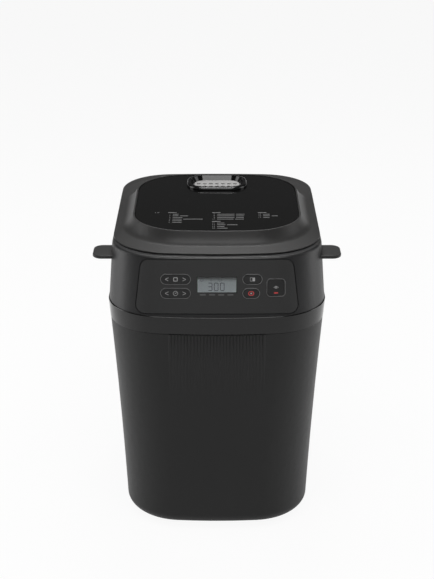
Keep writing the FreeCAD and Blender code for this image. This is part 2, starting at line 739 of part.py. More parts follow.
def make_hinge_pins():
    pins = []
    length = "(sizes.knuckle_length + 2 * sizes.knuckle_gap + 2 * sizes.ear_length)"
    for sx in (-1, 1):
        pin = cylinder(
            f"pin_{'left' if sx < 0 else 'right'}",
            "sizes.hinge_pin_radius",
            length,
            (
                f"{sx} * sizes.knuckle_offset - {length} / 2",
                "sizes.hinge_back",
                f"{DECK_TOP} - sizes.hinge_drop",
            ),
        )
        pin.Placement.Rotation = Rotation(Vector(0, 1, 0), 90)
        pins.append(pin)
    return keep(group("hinge_pin_group", pins), "hinge_pins")


def make_handles():
    """Two flat carrying ears that stand out of the collar's sides."""
    top = flange_top - size("handle_drop")
    foot = top - size("handle_thick")
    half = size("handle_length") / 2
    middle = half - size("handle_front")
    reach = size("body_half_width") + size("handle_reach")
    flat = rounded_rectangle(reach, half, size("handle_round"), foot, middle)
    plate = prism(flat, top - foot)
    plate = plate.makeFillet(size("handle_thick") / 3, edges_at(plate, top) + edges_at(plate, foot))
    outside = plate.cut(upper_skin(0))
    for solid in outside.Solids:
        feature("left_handle" if solid.CenterOfMass.x < 0 else "right_handle", solid)


# Sketched pieces: lengths that carry both their number and the sheet expression that binds them.
class Length:
    def __init__(self, value, text):
        self.value = value
        self.text = text

    def __str__(self):
        return self.text

    def __add__(self, other):
        return Length(self.value + other.value, f"({self.text} + {other.text})")

    def __sub__(self, other):
        return Length(self.value - other.value, f"({self.text} - {other.text})")

    def __mul__(self, factor):
        return Length(self.value * factor, f"({self.text} * {factor})")


def dim(alias):
    return Length(size(alias), f"sizes.{alias}")


nothing = Length(0.0, "0")


def new_body(name, at=("0", "0", "0")):
    body = doc.addObject("PartDesign::Body", name)
    for axis, expression in zip("xyz", at):
        body.setExpression(f"Placement.Base.{axis}", str(expression))
    return body


def new_sketch(body, name, role):
    plane = next(f for f in body.Origin.OriginFeatures if f.Role == role)
    drawing = body.newObject("Sketcher::SketchObject", name)
    drawing.AttachmentSupport = [(plane, "")]
    drawing.MapMode = "FlatFace"
    return drawing


def pin_point(drawing, line, end, x, y):
    """Ties one sketch point to the origin by two sheet-driven distances."""
    for kind, axis, amount in (("DistanceX", -2, x), ("DistanceY", -1, y)):
        if amount.value == 0:
            drawing.addConstraint(Sketcher.Constraint("PointOnObject", line, end, axis))
        else:
            number = drawing.addConstraint(Sketcher.Constraint(kind, -1, 1, line, end, amount.value))
            drawing.setExpression(f"Constraints[{number}]", amount.text)


def polygon(drawing, points):
    """A closed outline of straight lines through sheet-driven points."""
    first = drawing.GeometryCount
    ends = points[1:] + points[:1]
    for (x0, y0), (x1, y1) in zip(points, ends):
        drawing.addGeometry(
            Part.LineSegment(Vector(x0.value, y0.value, 0), Vector(x1.value, y1.value, 0)), False
        )
    for number in range(len(points)):
        follow = first + (number + 1) % len(points)
        drawing.addConstraint(Sketcher.Constraint("Coincident", first + number, 2, follow, 1))
    for number, (x, y) in enumerate(points):
        pin_point(drawing, first + number, 1, x, y)


def circle(drawing, x, y, radius):
    ring = Part.Circle(Vector(x.value, y.value, 0), Vector(0, 0, 1), radius.value)
    number = drawing.addGeometry(ring, False)
    pin_point(drawing, number, 3, x, y)
    bound = drawing.addConstraint(Sketcher.Constraint("Radius", number, radius.value))
    drawing.setExpression(f"Constraints[{bound}]", radius.text)


def pad(body, drawing, amount, name):
    made = body.newObject("PartDesign::Pad", name)
    made.Profile = drawing
    made.setExpression("Length", amount.text)
    drawing.Visibility = False
    return made


def turned(label, points, at):
    """A turned piece: its half section, as (radius, height) pairs, revolved round the vertical axis."""
    body = new_body(f"{label}_body", at)
    drawing = new_sketch(body, f"{label}_section", "XZ_Plane")
    polygon(drawing, points)
    spun = body.newObject("PartDesign::Revolution", f"{label}_turn")
    spun.Profile = drawing
    spun.ReferenceAxis = (drawing, ["V_Axis"])
    spun.Angle = 360.0
    return keep(body, label)


def plate(label, corners, holes, thick, at):
    """A flat plate from its outline and round holes, padded upwards."""
    body = new_body(f"{label}_body", at)
    drawing = new_sketch(body, f"{label}_outline", "XY_Plane")
    polygon(drawing, corners)
    for x, y, radius in holes:
        circle(drawing, x, y, radius)
    pad(body, drawing, thick, f"{label}_pad")
    return keep(body, label)


def rectangle(left, front, right, back):
    return [(left, front), (right, front), (right, back), (left, back)]


# Lid
def lid_outline(inset, height):
    return outline(
        lid_half_width - inset,
        size("lid_front") - inset,
        size("lid_back") - inset,
        size("lid_corner") - inset,
        height,
    )


def hump_outline(inset, height):
    return outline(
        lid_half_width - size("hump_side_flat") - inset,
        size("lid_front") - size("hump_front_flat") - inset,
        size("lid_back") - size("hump_back_flat") - inset,
        size("hump_corner") - inset,
        height,
    )


def hump(inset, steps=(0.0, 0.35, 0.7, 1.0), power=2.2):
    """The raised middle of the lid: a hollow slope that steepens towards its rim."""
    run, rise = size("hump_run"), size("hump_rise")
    return loft(*(hump_outline(inset + run * s, flange_top + rise * s**power) for s in steps), ruled=False)


def make_lid_frame():
    edge = flange_top - size("lid_fall")
    flange = prism(lid_outline(0, lid_foot), edge - lid_foot)
    flange = flange.makeFillet(size("lid_edge_round"), edges_at(flange, edge))
    fall = loft(lid_outline(size("lid_edge_round"), edge), hump_outline(0, flange_top))
    inset = size("hump_run") + size("panel_rim")
    bed = lid_top - size("panel_sink") - size("panel_thick")
    recess = prism(hump_outline(inset - size("panel_gap"), bed), 2 * size("panel_thick"))
    ceiling = bed - size("lid_wall")
    cavity = prism(hump_outline(inset + size("lid_wall"), lid_foot - 1), ceiling - lid_foot + 1)
    raised = hump(0)
    raised = raised.makeFillet(size("hump_round"), edges_at(raised, lid_top))
    frame = flange.fuse(fall).fuse(raised).cut(recess).cut(cavity)
    axis_z = deck_top - size("hinge_drop")
    radius = size("knuckle_radius")
    length = size("knuckle_length")
    for sx in (-1, 1):
        low = sx * size("knuckle_offset") - length / 2
        eye = Part.makeCylinder(radius, length, Vector(low, size("hinge_back"), axis_z), Vector(1, 0, 0))
        reach = size("hinge_back") - size("lid_back") + 2 * radius
        arm_top = edge - size("lid_edge_round")
        arm = Part.makeBox(
            length, reach + radius, arm_top - lid_foot, Vector(low, size("hinge_back") - reach, lid_foot)
        )
        front = size("hinge_pocket") - size("knuckle_gap")
        web = Part.makeBox(
            length, front + radius, arm_top - axis_z, Vector(low, size("hinge_back") - front, axis_z)
        )
        frame = frame.fuse(eye.fuse(arm).fuse(web))
    return feature("lid_frame", frame.cut(hinge_bore(size("hinge_clear"), axis_z)))


def vent_outline(inset, height):
    half_x, half_y = size("vent_width") / 2 - inset, size("vent_depth") / 2 - inset
    return rounded_rectangle(half_x, half_y, size("vent_corner") - inset, height, size("vent_back"))


def make_lid_panel():
    low = lid_top - size("panel_sink") - size("panel_thick")
    inset = size("hump_run") + size("panel_rim")
    panel = prism(hump_outline(inset, low), size("panel_thick"))
    panel = panel.makeFillet(size("panel_sink"), edges_at(panel, low + size("panel_thick")))
    hole = prism(vent_outline(size("vent_lip") / 2, low - 1), size("panel_thick") + 2)
    feature("lid_panel", panel.cut(hole))
    return low


def make_vent(low):
    """Steam vent: a rounded bezel on the panel with a neck through it, and the perforated grille."""
    top = low + size("panel_thick")
    lip = size("vent_lip")
    ring = prism(vent_outline(0, top), size("vent_rise"))
    ring = ring.makeFillet(size("vent_round"), edges_at(ring, top + size("vent_rise")))
    neck = prism(vent_outline(lip / 2 + size("vent_fit"), low), top - low)
    mouth = vent_outline(size("vent_flare"), top + size("vent_rise"))
    bowl = loft(vent_outline(lip, low + size("vent_plate")), mouth)
    through = prism(vent_outline(lip, low - 1), top - low + 2)
    feature("vent_bezel", ring.fuse(neck).cut(through).cut(bowl).removeSplitter())
    plate_ = prism(vent_outline(lip + size("vent_fit"), low), size("vent_plate"))
    columns, rows = int(size("vent_columns")), int(size("vent_rows"))
    for column in range(columns):
        for row in range(rows):
            x = (column - (columns - 1) / 2) * size("vent_pitch_x")
            y = size("vent_back") + (row - (rows - 1) / 2) * size("vent_pitch_y")
            plate_ = plate_.cut(Part.makeCylinder(size("vent_hole") / 2, 4 * past, Vector(x, y, low - past)))
    feature("vent_grille", plate_)


def make_lid_inside(low):
    """Inner tray that hangs into the chamber, the seal round it and the screws that hold it."""
    hollow = size("hump_run") + size("panel_rim") + size("lid_wall")
    half_x = lid_half_width - size("hump_side_flat") - hollow - size("tray_side")
    half_y = size("lid_back") - size("hump_back_flat") - hollow - size("tray_back") - drive_y
    corner = size("tray_corner")
    foot = lid_foot - size("tray_drop")
    top = low - size("lid_wall")
    thin = size("tray_wall")
    shell = prism(rounded_rectangle(half_x, half_y, corner, foot, drive_y), top - foot)
    inside = rounded_rectangle(half_x - thin, half_y - thin, corner - thin, foot + thin, drive_y)
    feature("lid_tray", shell.cut(prism(inside, top - foot)))
    wide = size("chamber_flange") + size("seal_width") / 2
    inner = deck_outline(wide, lid_foot - size("seal_thick"))
    outer = deck_outline(wide + size("seal_width"), lid_foot - size("seal_thick"))
    feature("lid_seal", prism(outer, size("seal_thick")).cut(prism(inner, size("seal_thick"))))
    screws = []
    for sx in (-1, 1):
        for sy in (-1, 1):
            screws.append(cylinder(
                f"lid_screw_{sx + 1}{sy + 1}",
                "sizes.screw_head",
                f"{LID_TOP} - sizes.panel_sink - sizes.panel_thick - sizes.lid_wall"
                f" - ({LID_FOOT} - sizes.tray_drop + sizes.tray_wall)",
                (
                    f"{sx} * {CHAMBER_HALF} / 2",
                    f"sizes.chamber_back + {sy} * sizes.chamber_half_depth / 2",
                    f"{LID_FOOT} - sizes.tray_drop + sizes.tray_wall",
                ),
            ))
    keep(group("lid_screw_group", screws), "lid_screws")


def deck_outline(grow, height):
    corner = size("chamber_corner") + grow
    return rounded_rectangle(chamber_half + grow, chamber_deep + grow, corner, height, drive_y)


# Oven chamber and its heater
def make_chamber():
    floor, sheet_ = size("chamber_floor"), size("chamber_sheet")
    shell = prism(deck_outline(0, floor), deck_top - floor)
    hem = deck_top - size("deck") - sheet_
    shell = shell.fuse(prism(deck_outline(size("chamber_flange"), hem), sheet_))
    shell = shell.cut(prism(deck_outline(-sheet_, floor + sheet_), deck_top - floor + past))
    shell = shell.cut(Part.makeCylinder(
        size("bearing_radius") + size("seam"), 4 * past, Vector(0, drive_y, floor - 2 * past)
    ))
    for sx in (-1, 1):
        shell = shell.cut(heater_leg(sx, size("heater_radius") + size("seam")))
    sensor = Part.makeCylinder(
        size("heater_radius") + size("seam"),
        2 * past,
        Vector(chamber_half / 2, drive_y - chamber_deep - past, floor + 2 * size("heater_rise")),
        Vector(0, 1, 0),
    )
    return feature("oven_chamber", shell.cut(sensor).removeSplitter())


def heater_leg(sx, radius):
    return Part.makeCylinder(
        radius,
        2 * past,
        Vector(sx * size("heater_legs") / 2, drive_y - chamber_deep - past, heater_z),
        Vector(0, 1, 0),
    )


heater_z = size("chamber_floor") + size("heater_rise")
heater_inset = size("chamber_sheet") + size("heater_gap") + size("heater_radius")


def make_heater():
    """An open loop of tube round the chamber whose two legs pass through its front wall."""
    half, bend = chamber_half - heater_inset, size("chamber_corner") - size("heater_gap")
    small = size("heater_legs") / 4
    front = drive_y - chamber_deep + heater_inset
    back = drive_y + chamber_deep - heater_inset
    start = drive_y - chamber_deep - past / 2
    stops = [
        (size("heater_legs") / 2, start, 0),
        (size("heater_legs") / 2, front, small),
        (half, front, bend),
        (half, back, bend),
        (-half, back, bend),
        (-half, front, bend),
        (-size("heater_legs") / 2, front, small),
        (-size("heater_legs") / 2, start, 0),
    ]
    path = bent_wire([(Vector(x, y, heater_z), r) for x, y, r in stops])
    feature("heating_element", tube(path, size("heater_radius")))
    clips = []
    thick = "2 * sizes.heater_radius"
    reach = "sizes.heater_gap"
    inner = f"({CHAMBER_HALF} - sizes.chamber_sheet - sizes.heater_gap)"
    level = "sizes.chamber_floor + sizes.heater_rise - sizes.heater_radius"
    middle = "sizes.chamber_back - sizes.heater_radius"
    clips.append(block("clip_right", reach, thick, thick, (inner, middle, level)))
    clips.append(block("clip_left", reach, thick, thick, (f"0 - {inner} - {reach}", middle, level)))
    clips.append(block("clip_back", thick, reach, thick, (
        "0 - sizes.heater_radius",
        "sizes.chamber_back + sizes.chamber_half_depth - sizes.chamber_sheet - sizes.heater_gap",
        level,
    )))
    keep(group("heater_clip_group", clips), "heater_clips")


def bent_wire(stops):
    """A path through points with a bend of its own radius at each inner one."""
    edges = []
    previous = stops[0][0]
    for before, (corner, radius), after in zip(stops, stops[1:], stops[2:]):
        way_in = (corner - before[0]).normalize()
        way_out = (after[0] - corner).normalize()
        turn = math.acos(max(-1.0, min(1.0, way_in.dot(way_out))))
        back = radius * math.tan(turn / 2)
        a = corner - way_in * back
        c = corner + way_out * back
        inward = (way_out - way_in).normalize()
        centre = corner + inward * (radius / math.cos(turn / 2))
        edges.append(Part.LineSegment(previous, a).toShape())
        edges.append(Part.Arc(a, centre - inward * radius, c).toShape())
        previous = c
    edges.append(Part.LineSegment(previous, stops[-1][0]).toShape())
    return Part.Wire(edges)


def tube(path, radius):
    """A round bar along a path."""
    first = path.OrderedEdges[0]
    start = first.valueAt(first.FirstParameter)
    ring = Part.Wire([Part.Circle(start, first.tangentAt(first.FirstParameter), radius).toShape()])
    return path.makePipeShell([ring], True, False)


def make_sensor():
    probe = Part.makeCylinder(
        size("heater_radius"),
        past,
        Vector(
            chamber_half / 2,
            drive_y - chamber_deep - past / 2,
            size("chamber_floor") + 2 * size("heater_rise"),
        ),
        Vector(0, 1, 0),
    )
    feature("temperature_sensor", probe)


# Bread pan
def pan_outline(inset, height):
    share = (pan_rim_z - height) / size("pan_height")
    draw = size("pan_taper") * share + inset
    return rounded_rectangle(
        pan_half_width - draw,
        size("pan_half_depth") - draw,
        size("pan_corner") - draw,
        height,
        drive_y,
    )


def make_pan():
    floor, wall = size("pan_floor"), size("pan_wall")
    solid = loft(pan_outline(0, floor), pan_outline(0, pan_rim_z))
    solid = solid.makeFillet(2 * wall, edges_at(solid, floor))
    rim = prism(pan_outline(-size("pan_rim"), pan_rim_z - size("pan_rim")), size("pan_rim"))
    rim = rim.makeFillet(size("pan_rim") / 3, edges_at(rim, pan_rim_z))
    hollow = loft(pan_outline(wall, floor + wall), pan_outline(wall, pan_rim_z + 1))
    hole = Part.makeCylinder(size("bush_radius"), 2 * past, Vector(0, drive_y, floor - past))
    pan = solid.fuse(rim)
    ear = size("pan_rim") + size("bail_drop")
    for sx in (-1, 1):
        side = pan_half_width - size("pan_wall") / 2
        thick = size("pan_rim")
        lug = Part.makeBox(thick, ear, ear, Vector(0, drive_y - ear / 2, pan_rim_z - ear - size("pan_rim")))
        lug.translate(Vector(side if sx > 0 else -side - thick, 0, 0))
        pan = pan.fuse(lug)
    feature("bread_pan", pan.cut(hollow).cut(hole).removeSplitter())
    skirt_foot = "(sizes.chamber_floor + sizes.chamber_sheet)"
    tall = f"(sizes.pan_floor - {skirt_foot})"
    skirt = cut(
        "skirt_ring",
        cylinder("skirt_outer", "sizes.skirt_radius", tall, ("0", "sizes.chamber_back", skirt_foot)),
        cylinder("skirt_inner", "sizes.skirt_radius - sizes.skirt_wall", tall, (
            "0", "sizes.chamber_back", skirt_foot
        )),
    )
    keep(skirt, "pan_skirt")
    bush_height = dim("bush_below") + dim("bush_above")
    bore = dim("shaft_radius") + dim("shaft_clear")
    turned(
        "pan_bush",
        rectangle(bore, nothing, dim("bush_radius"), bush_height),
        ("0", "sizes.chamber_back", "sizes.pan_floor - sizes.bush_below"),
    )


def bail_side_x():
    return pan_half_width + size("pan_rim") + size("bail_side")


def make_pan_handle():
    """The pan's bail: a wire hoop with an eye at each end, folded towards the front, on two pivots."""
    side = bail_side_x()
    pivot = Vector(0, drive_y, pan_rim_z - size("bail_drop"))
    lean = math.radians(size("bail_rest"))
    along = Vector(0, -math.cos(lean), math.sin(lean))
    reach = size("bail_reach")
    eye = 2 * size("pivot_radius")
    start = along * (size("pivot_radius") + size("bail_radius") / 2)
    bend = size("bail_side") * 2
    across = Vector(side, 0, 0)
    path = bent_wire([
        (pivot - across + start, 0),
        (pivot - across + along * reach, bend),
        (pivot + across + along * reach, bend),
        (pivot + across + start, 0),
    ])
    hoop = tube(path, size("bail_radius"))
    pivots = []
    wide = 2 * size("bail_radius")
    inner = pan_half_width - size("pan_wall") / 2 + size("pan_rim")
    for sx in (-1, 1):
        ring = Part.makeCylinder(eye, wide, pivot + Vector(sx * side - wide / 2, 0, 0), Vector(1, 0, 0))
        hoop = hoop.fuse(ring)
        start_x = inner if sx > 0 else -side - wide
        long = side + wide - inner
        pivots.append(Part.makeCylinder(
            size("pivot_radius"), long, pivot + Vector(start_x, 0, 0), Vector(1, 0, 0)
        ))
    bore = Part.makeCylinder(
        size("pivot_radius") + size("pivot_clear"), 4 * side, pivot - across * 2, Vector(1, 0, 0)
    )
    feature("pan_handle", hoop.cut(bore))
    feature("pan_pivots", Part.makeCompound(pivots))


def make_paddle():
    """Pan shaft with its key below the bush, and the kneading paddle on top."""
    low = f"({DOG_FOOT} + sizes.dog_floor + sizes.dog_clear)"
    key_height = "(sizes.dog_height - sizes.dog_floor - sizes.dog_clear)"
    high = "(sizes.pan_floor + sizes.bush_above + sizes.dog_clear)"
    at_drive = "sizes.chamber_back"
    shaft = cylinder(
        "pan_shaft_bar",
        "sizes.shaft_radius",
        f"{high} + sizes.paddle_hub_height - {low} - {key_height}",
        ("0", at_drive, f"{low} + {key_height}"),
    )
    keep(shaft, "pan_shaft")
    wide = "(sizes.dog_slot - 2 * sizes.dog_clear)"
    half_key = "(sizes.dog_radius - sizes.key_short)"
    key = block("pan_key_bar", f"2 * {half_key}", wide, key_height, (
        f"0 - {half_key}", f"{at_drive} - {wide} / 2", low
    ))
    keep(key, "pan_key")
    hub = cylinder("hub", "sizes.paddle_hub", "sizes.paddle_hub_height", ("0", at_drive, high))
    blade = block("blade", "sizes.paddle_reach", "sizes.paddle_thick", "sizes.paddle_height", (
        "0", f"{at_drive} - sizes.paddle_thick / 2", high
    ))
    crown_length = "sizes.paddle_hub + sizes.shaft_radius"
    crown = block("crown", crown_length, "sizes.paddle_thick", "sizes.paddle_height", (
        "0 - sizes.paddle_hub", f"{at_drive} - sizes.paddle_thick / 2", high
    ))
    bore = cylinder("hub_bore", "sizes.shaft_radius + sizes.shaft_clear", "sizes.paddle_hub_height", (
        "0", at_drive, high
    ))
    keep(cut("paddle_bored", fuse("paddle_whole", hub, blade, crown), bore), "kneading_paddle")


# Drive train
def make_seat():
    seat_foot = "(sizes.chamber_floor + sizes.chamber_sheet)"
    inner = "sizes.skirt_radius + sizes.seat_clear"
    ring = cut(
        "seat_ring",
        cylinder("seat_outer", f"{inner} + sizes.seat_wall", "sizes.seat_height", (
            "0", "sizes.chamber_back", seat_foot
        )),
        cylinder("seat_inner", inner, "sizes.seat_height", ("0", "sizes.chamber_back", seat_foot)),
    )
    keep(ring, "pan_seat")


def make_drive():
    at_drive = "sizes.chamber_back"
    slot_foot = f"({DOG_FOOT} + sizes.dog_floor)"
    tail = "(sizes.pulley_floor - sizes.shaft_tail)"
    shaft = cylinder("drive_bar", "sizes.shaft_radius", f"{slot_foot} - {tail}", ("0", at_drive, tail))
    keep(shaft, "drive_shaft")
    dog = cylinder("dog", "sizes.dog_radius", "sizes.dog_height", ("0", at_drive, DOG_FOOT))
    slot = block("dog_channel", "4 * sizes.dog_radius", "sizes.dog_slot", "sizes.dog_height", (
        "0 - 2 * sizes.dog_radius", f"{at_drive} - sizes.dog_slot / 2", slot_foot
    ))
    bore = cylinder("dog_bore", "sizes.shaft_radius", "sizes.dog_height", ("0", at_drive, DOG_FOOT))
    keep(cut("dog_bored", cut("dog_slotted", dog, slot), bore), "drive_dog")
    pulley("driven_pulley", dim("shaft_radius"), dim("pulley_groove"), ("0", at_drive, "sizes.pulley_floor"))
    at_motor = f"0 - {MOTOR_FRONT}"
    pulley("motor_pulley", dim("motor_shaft"), dim("motor_groove"), ("0", at_motor, "sizes.pulley_floor"))
    spindle = cylinder(
        "motor_bar",
        "sizes.motor_shaft",
        f"sizes.chassis_top + sizes.motor_height / 3 - {tail}",
        ("0", at_motor, tail),
    )
    keep(spindle, "motor_shaft")


def pulley(label, bore, groove, at):
    outer = groove + dim("pulley_flange")
    width, lip = dim("pulley_width"), dim("pulley_lip")
    turned(
        label,
        [
            (bore, nothing),
            (outer, nothing),
            (outer, lip),
            (groove, lip),
            (groove, width - lip),
            (outer, width - lip),
            (outer, width),
            (bore, width),
        ],
        at,
    )


def belt_loop(grow, height):
    """The closed line of a belt round the two pulleys, drawn at a distance outside their grooves."""
    big, small = size("pulley_groove") + grow, size("motor_groove") + grow
    far = drive_y + motor_front
    lean = math.asin((big - small) / far)

    def at(centre, radius, angle):
        return Vector(radius * math.cos(angle), centre + radius * math.sin(angle), height)

    motor = -motor_front
    a, b = at(drive_y, big, -lean), at(drive_y, big, math.pi + lean)
    c, d = at(motor, small, math.pi + lean), at(motor, small, -lean)
    return Part.Wire([
        Part.Arc(a, at(drive_y, big, math.pi / 2), b).toShape(),
        Part.LineSegment(b, c).toShape(),
        Part.Arc(c, at(motor, small, -math.pi / 2), d).toShape(),
        Part.LineSegment(d, a).toShape(),
    ])


def make_belt():
    clear = size("belt_clear")
    low = size("pulley_floor") + size("pulley_lip") + clear
    tall = size("pulley_width") - 2 * size("pulley_lip") - 2 * clear
    feature("drive_belt", prism(belt_loop(clear + size("belt_thick"), low), tall).cut(
        prism(belt_loop(clear, low), tall)
    ))


# Chassis, motor and electrics
def make_chassis():
    right = dim("body_half_width") - dim("chassis_side")
    motor = dim("chamber_back") - dim("chamber_half_depth") - dim("motor_gap") - dim("motor_radius")
    left, front, back = right * -1, motor - dim("chassis_ahead"), dim("chassis_rear")
    plate(
        "chassis",
        rectangle(left, front, right, back),
        [
            (nothing, dim("chamber_back"), dim("bearing_radius") + dim("seam")),
            (nothing, motor, dim("motor_shaft") * 2),
        ],
        dim("chassis_sheet"),
        ("0", "0", "sizes.chassis_top - sizes.chassis_sheet"),
    )
    floor = "(sizes.foot_height + sizes.base_sheet + sizes.base_flange)"
    posts, offs, screws = [], [], []
    for sx in (-1, 1):
        for name, y in (("front", "0 - sizes.post_front"), ("back", "sizes.post_rear")):
            side = "left" if sx < 0 else "right"
            x = f"{sx} * ({CHASSIS_HALF} - sizes.post_side)"
            posts.append(cylinder(f"post_{side}_{name}", "sizes.post_radius",
                                  f"sizes.chassis_top - sizes.chassis_sheet - {floor}", (x, y, floor)))
            screws.append(cylinder(f"screw_{side}_{name}", "sizes.screw_head", "sizes.screw_radius",
                                   (x, y, "sizes.foot_height - sizes.screw_radius")))
            sy = -1 if name == "front" else 1
            offs.append(cylinder(f"off_{side}_{name}", "sizes.post_radius",
                                 "sizes.chamber_floor - sizes.chassis_top",
                                 (x, f"sizes.chamber_back + {sy} * sizes.stand_off_y", "sizes.chassis_top")))
    keep(group("post_group", posts), "chassis_posts")
    keep(group("stand_off_group", offs), "stand_offs")
    keep(group("base_screw_group", screws), "base_screws")
    bore = dim("shaft_radius") + dim("shaft_clear")
    flange_low = dim("chassis_top")
    foot = dim("pulley_floor") + dim("pulley_width") + dim("belt_clear") * 2
    high = dim("chamber_floor") + dim("bush_below")
    flange_high = flange_low + dim("base_sheet")
    turned(
        "bearing_housing",
        [
            (bore, foot),
            (dim("bearing_radius"), foot),
            (dim("bearing_radius"), flange_low),
            (dim("bearing_flange"), flange_low),
            (dim("bearing_flange"), flange_high),
            (dim("bearing_radius"), flange_high),
            (dim("bearing_radius"), high),
            (bore, high),
        ],
        ("0", "sizes.chamber_back", "0"),
    )


def make_motor():
    at_motor = f"0 - {MOTOR_FRONT}"
    can = cylinder("motor_can", "sizes.motor_radius", "sizes.motor_height", (
        "0", at_motor, "sizes.chassis_top"
    ))
    bore = cylinder("motor_bore", "sizes.motor_shaft + sizes.shaft_clear", "sizes.motor_height / 2", (
        "0", at_motor, "sizes.chassis_top"
    ))
    keep(cut("motor_bored", can, bore), "motor")


def make_electrics():
    left = f"(sizes.post_radius - {CHASSIS_HALF})"
    back = "(sizes.chamber_back - sizes.chamber_half_depth - 4 * sizes.board_thick)"
    width = f"({CHASSIS_HALF} - sizes.motor_radius - 2 * sizes.post_radius)"
    board = block("power_card", width, "sizes.board_thick", "sizes.power_board_height", (
        left, back, "sizes.chassis_top"
    ))
    keep(board, "power_board")
    box_left = f"{left} + ({width} - sizes.transformer_width) / 2"
    box = block("transformer_core", "sizes.transformer_width", "sizes.transformer_depth",
                "sizes.transformer_height",
                (box_left, f"{back} - sizes.transformer_depth", "sizes.chassis_top"))
    keep(box, "transformer")
    can = cylinder("capacitor_can", "sizes.capacitor_radius", "sizes.capacitor_height", (
        f"{CHASSIS_HALF} - 4 * sizes.post_radius", f"{back} - sizes.post_radius", "sizes.chassis_top"
    ))
    keep(can, "capacitor")


def make_gland():
    """A flanged sleeve in the back wall that the cord would pass through."""
    share = (size("body_top") - size("gland_height")) / (size("body_top") - size("foot_height"))
    wall_y = size("body_back") - size("body_front_inset") * share
    flange_y = wall_y + size("seam")
    at = Vector(size("gland_x"), flange_y, size("gland_height"))
    back = Vector(0, 1, 0)
    length = size("gland_length")
    sleeve = Part.makeCylinder(size("gland_neck"), length, at - back * (length - size("wall")), back)
    sleeve = sleeve.fuse(Part.makeCylinder(size("gland_flange"), size("wall"), at, back))
    hole = Part.makeCylinder(size("gland_bore"), 4 * length, at - back * 2 * length, back)
    feature("cord_gland", sleeve.cut(hole).removeSplitter())


make_body()
make_band()
make_base()
make_feet()
whole_shell = upper_shell()
make_control_housing(whole_shell)
make_collar(whole_shell)
make_handles()
make_control_panel()
make_display_and_board(make_keys())
make_hinge_pins()
make_lid_frame()
panel_bed = make_lid_panel()
make_vent(panel_bed)
make_lid_inside(panel_bed)
make_chamber()
make_heater()
make_sensor()
make_pan()
make_pan_handle()
make_paddle()
make_seat()
make_drive()
make_belt()
make_chassis()
make_motor()
make_electrics()
make_gland()
doc.recompute()

for obj in doc.Objects:
    if "Invalid" in obj.State or "Error" in obj.State:
        raise RuntimeError(f"{obj.Label} did not compute")
for obj in pieces:
    if obj.Shape.isNull() or not obj.Shape.isValid() or not obj.Shape.Solids:
        raise RuntimeError(f"{obj.Label} has no valid solid")

os.makedirs("parts", exist_ok=True)
for obj in pieces:
    obj.Shape.exportStep(f"parts/{obj.Label}.step")
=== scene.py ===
"""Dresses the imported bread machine.

It gives the pieces their finishes and smooth shells, and adds the front flutes, key symbols,
display figures and lid print.
"""

import json
import math

import bmesh
import bpy
from mathutils import Matrix, Vector


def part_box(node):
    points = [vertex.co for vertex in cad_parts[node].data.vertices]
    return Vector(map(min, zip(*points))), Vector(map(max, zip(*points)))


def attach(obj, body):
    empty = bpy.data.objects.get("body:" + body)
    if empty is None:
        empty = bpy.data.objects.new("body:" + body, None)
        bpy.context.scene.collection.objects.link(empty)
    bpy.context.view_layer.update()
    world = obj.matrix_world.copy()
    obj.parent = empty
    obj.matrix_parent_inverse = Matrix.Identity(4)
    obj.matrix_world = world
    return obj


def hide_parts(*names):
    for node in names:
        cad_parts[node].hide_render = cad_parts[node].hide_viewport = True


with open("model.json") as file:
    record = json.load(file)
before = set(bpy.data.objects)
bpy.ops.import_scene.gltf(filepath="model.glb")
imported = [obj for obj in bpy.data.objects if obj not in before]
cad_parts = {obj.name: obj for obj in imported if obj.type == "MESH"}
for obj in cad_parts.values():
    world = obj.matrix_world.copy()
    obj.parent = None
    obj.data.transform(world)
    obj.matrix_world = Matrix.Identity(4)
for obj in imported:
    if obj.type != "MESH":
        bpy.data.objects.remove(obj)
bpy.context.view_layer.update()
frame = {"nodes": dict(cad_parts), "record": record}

bl_info = {
    "name": "Bread machine dressing",
    "version": (1, 0, 0),
    "blender": (4, 5, 0),
    "location": "View3D > Sidebar > Bread machine",
    "description": "Finishes, printed symbols and studio for the compact bread machine",
    "category": "Object",
}

MM = 0.001
FINISH_NAME = "bread_{}"
FRONT_BOW = 470.0 * MM
FRONT_LEAN = 8.0 * MM
HOUSING_RUN = 16.6 * MM
KEY_PROUD = 0.5 * MM
FIELD_BEFORE_VENT = 61.5 * MM
SLOT_OF = {part["node"]: part["material_slot"] for part in frame["record"]["subparts"]}
BODY_OF = {
    node: body for body, nodes in frame["record"]["behaviour"]["bodies"].items() for node in nodes
}


class Sock:
    """A shader socket that builds Math nodes when it is used in an expression."""

    def __init__(self, tree, socket):
        self.tree = tree
        self.socket = socket

    def _math(self, operation, a, b):
        node = self.tree.nodes.new("ShaderNodeMath")
        node.operation = operation
        for slot, value in zip(node.inputs, (a, b)):
            if isinstance(value, Sock):
                self.tree.links.new(value.socket, slot)
            else:
                slot.default_value = value
        return Sock(self.tree, node.outputs[0])

    def __add__(self, other):
        return self._math("ADD", self, other)

    def __sub__(self, other):
        return self._math("SUBTRACT", self, other)

    def __mul__(self, other):
        return self._math("MULTIPLY", self, other)

    def __gt__(self, other):
        return self._math("GREATER_THAN", self, other)

    def __lt__(self, other):
        return self._math("LESS_THAN", self, other)


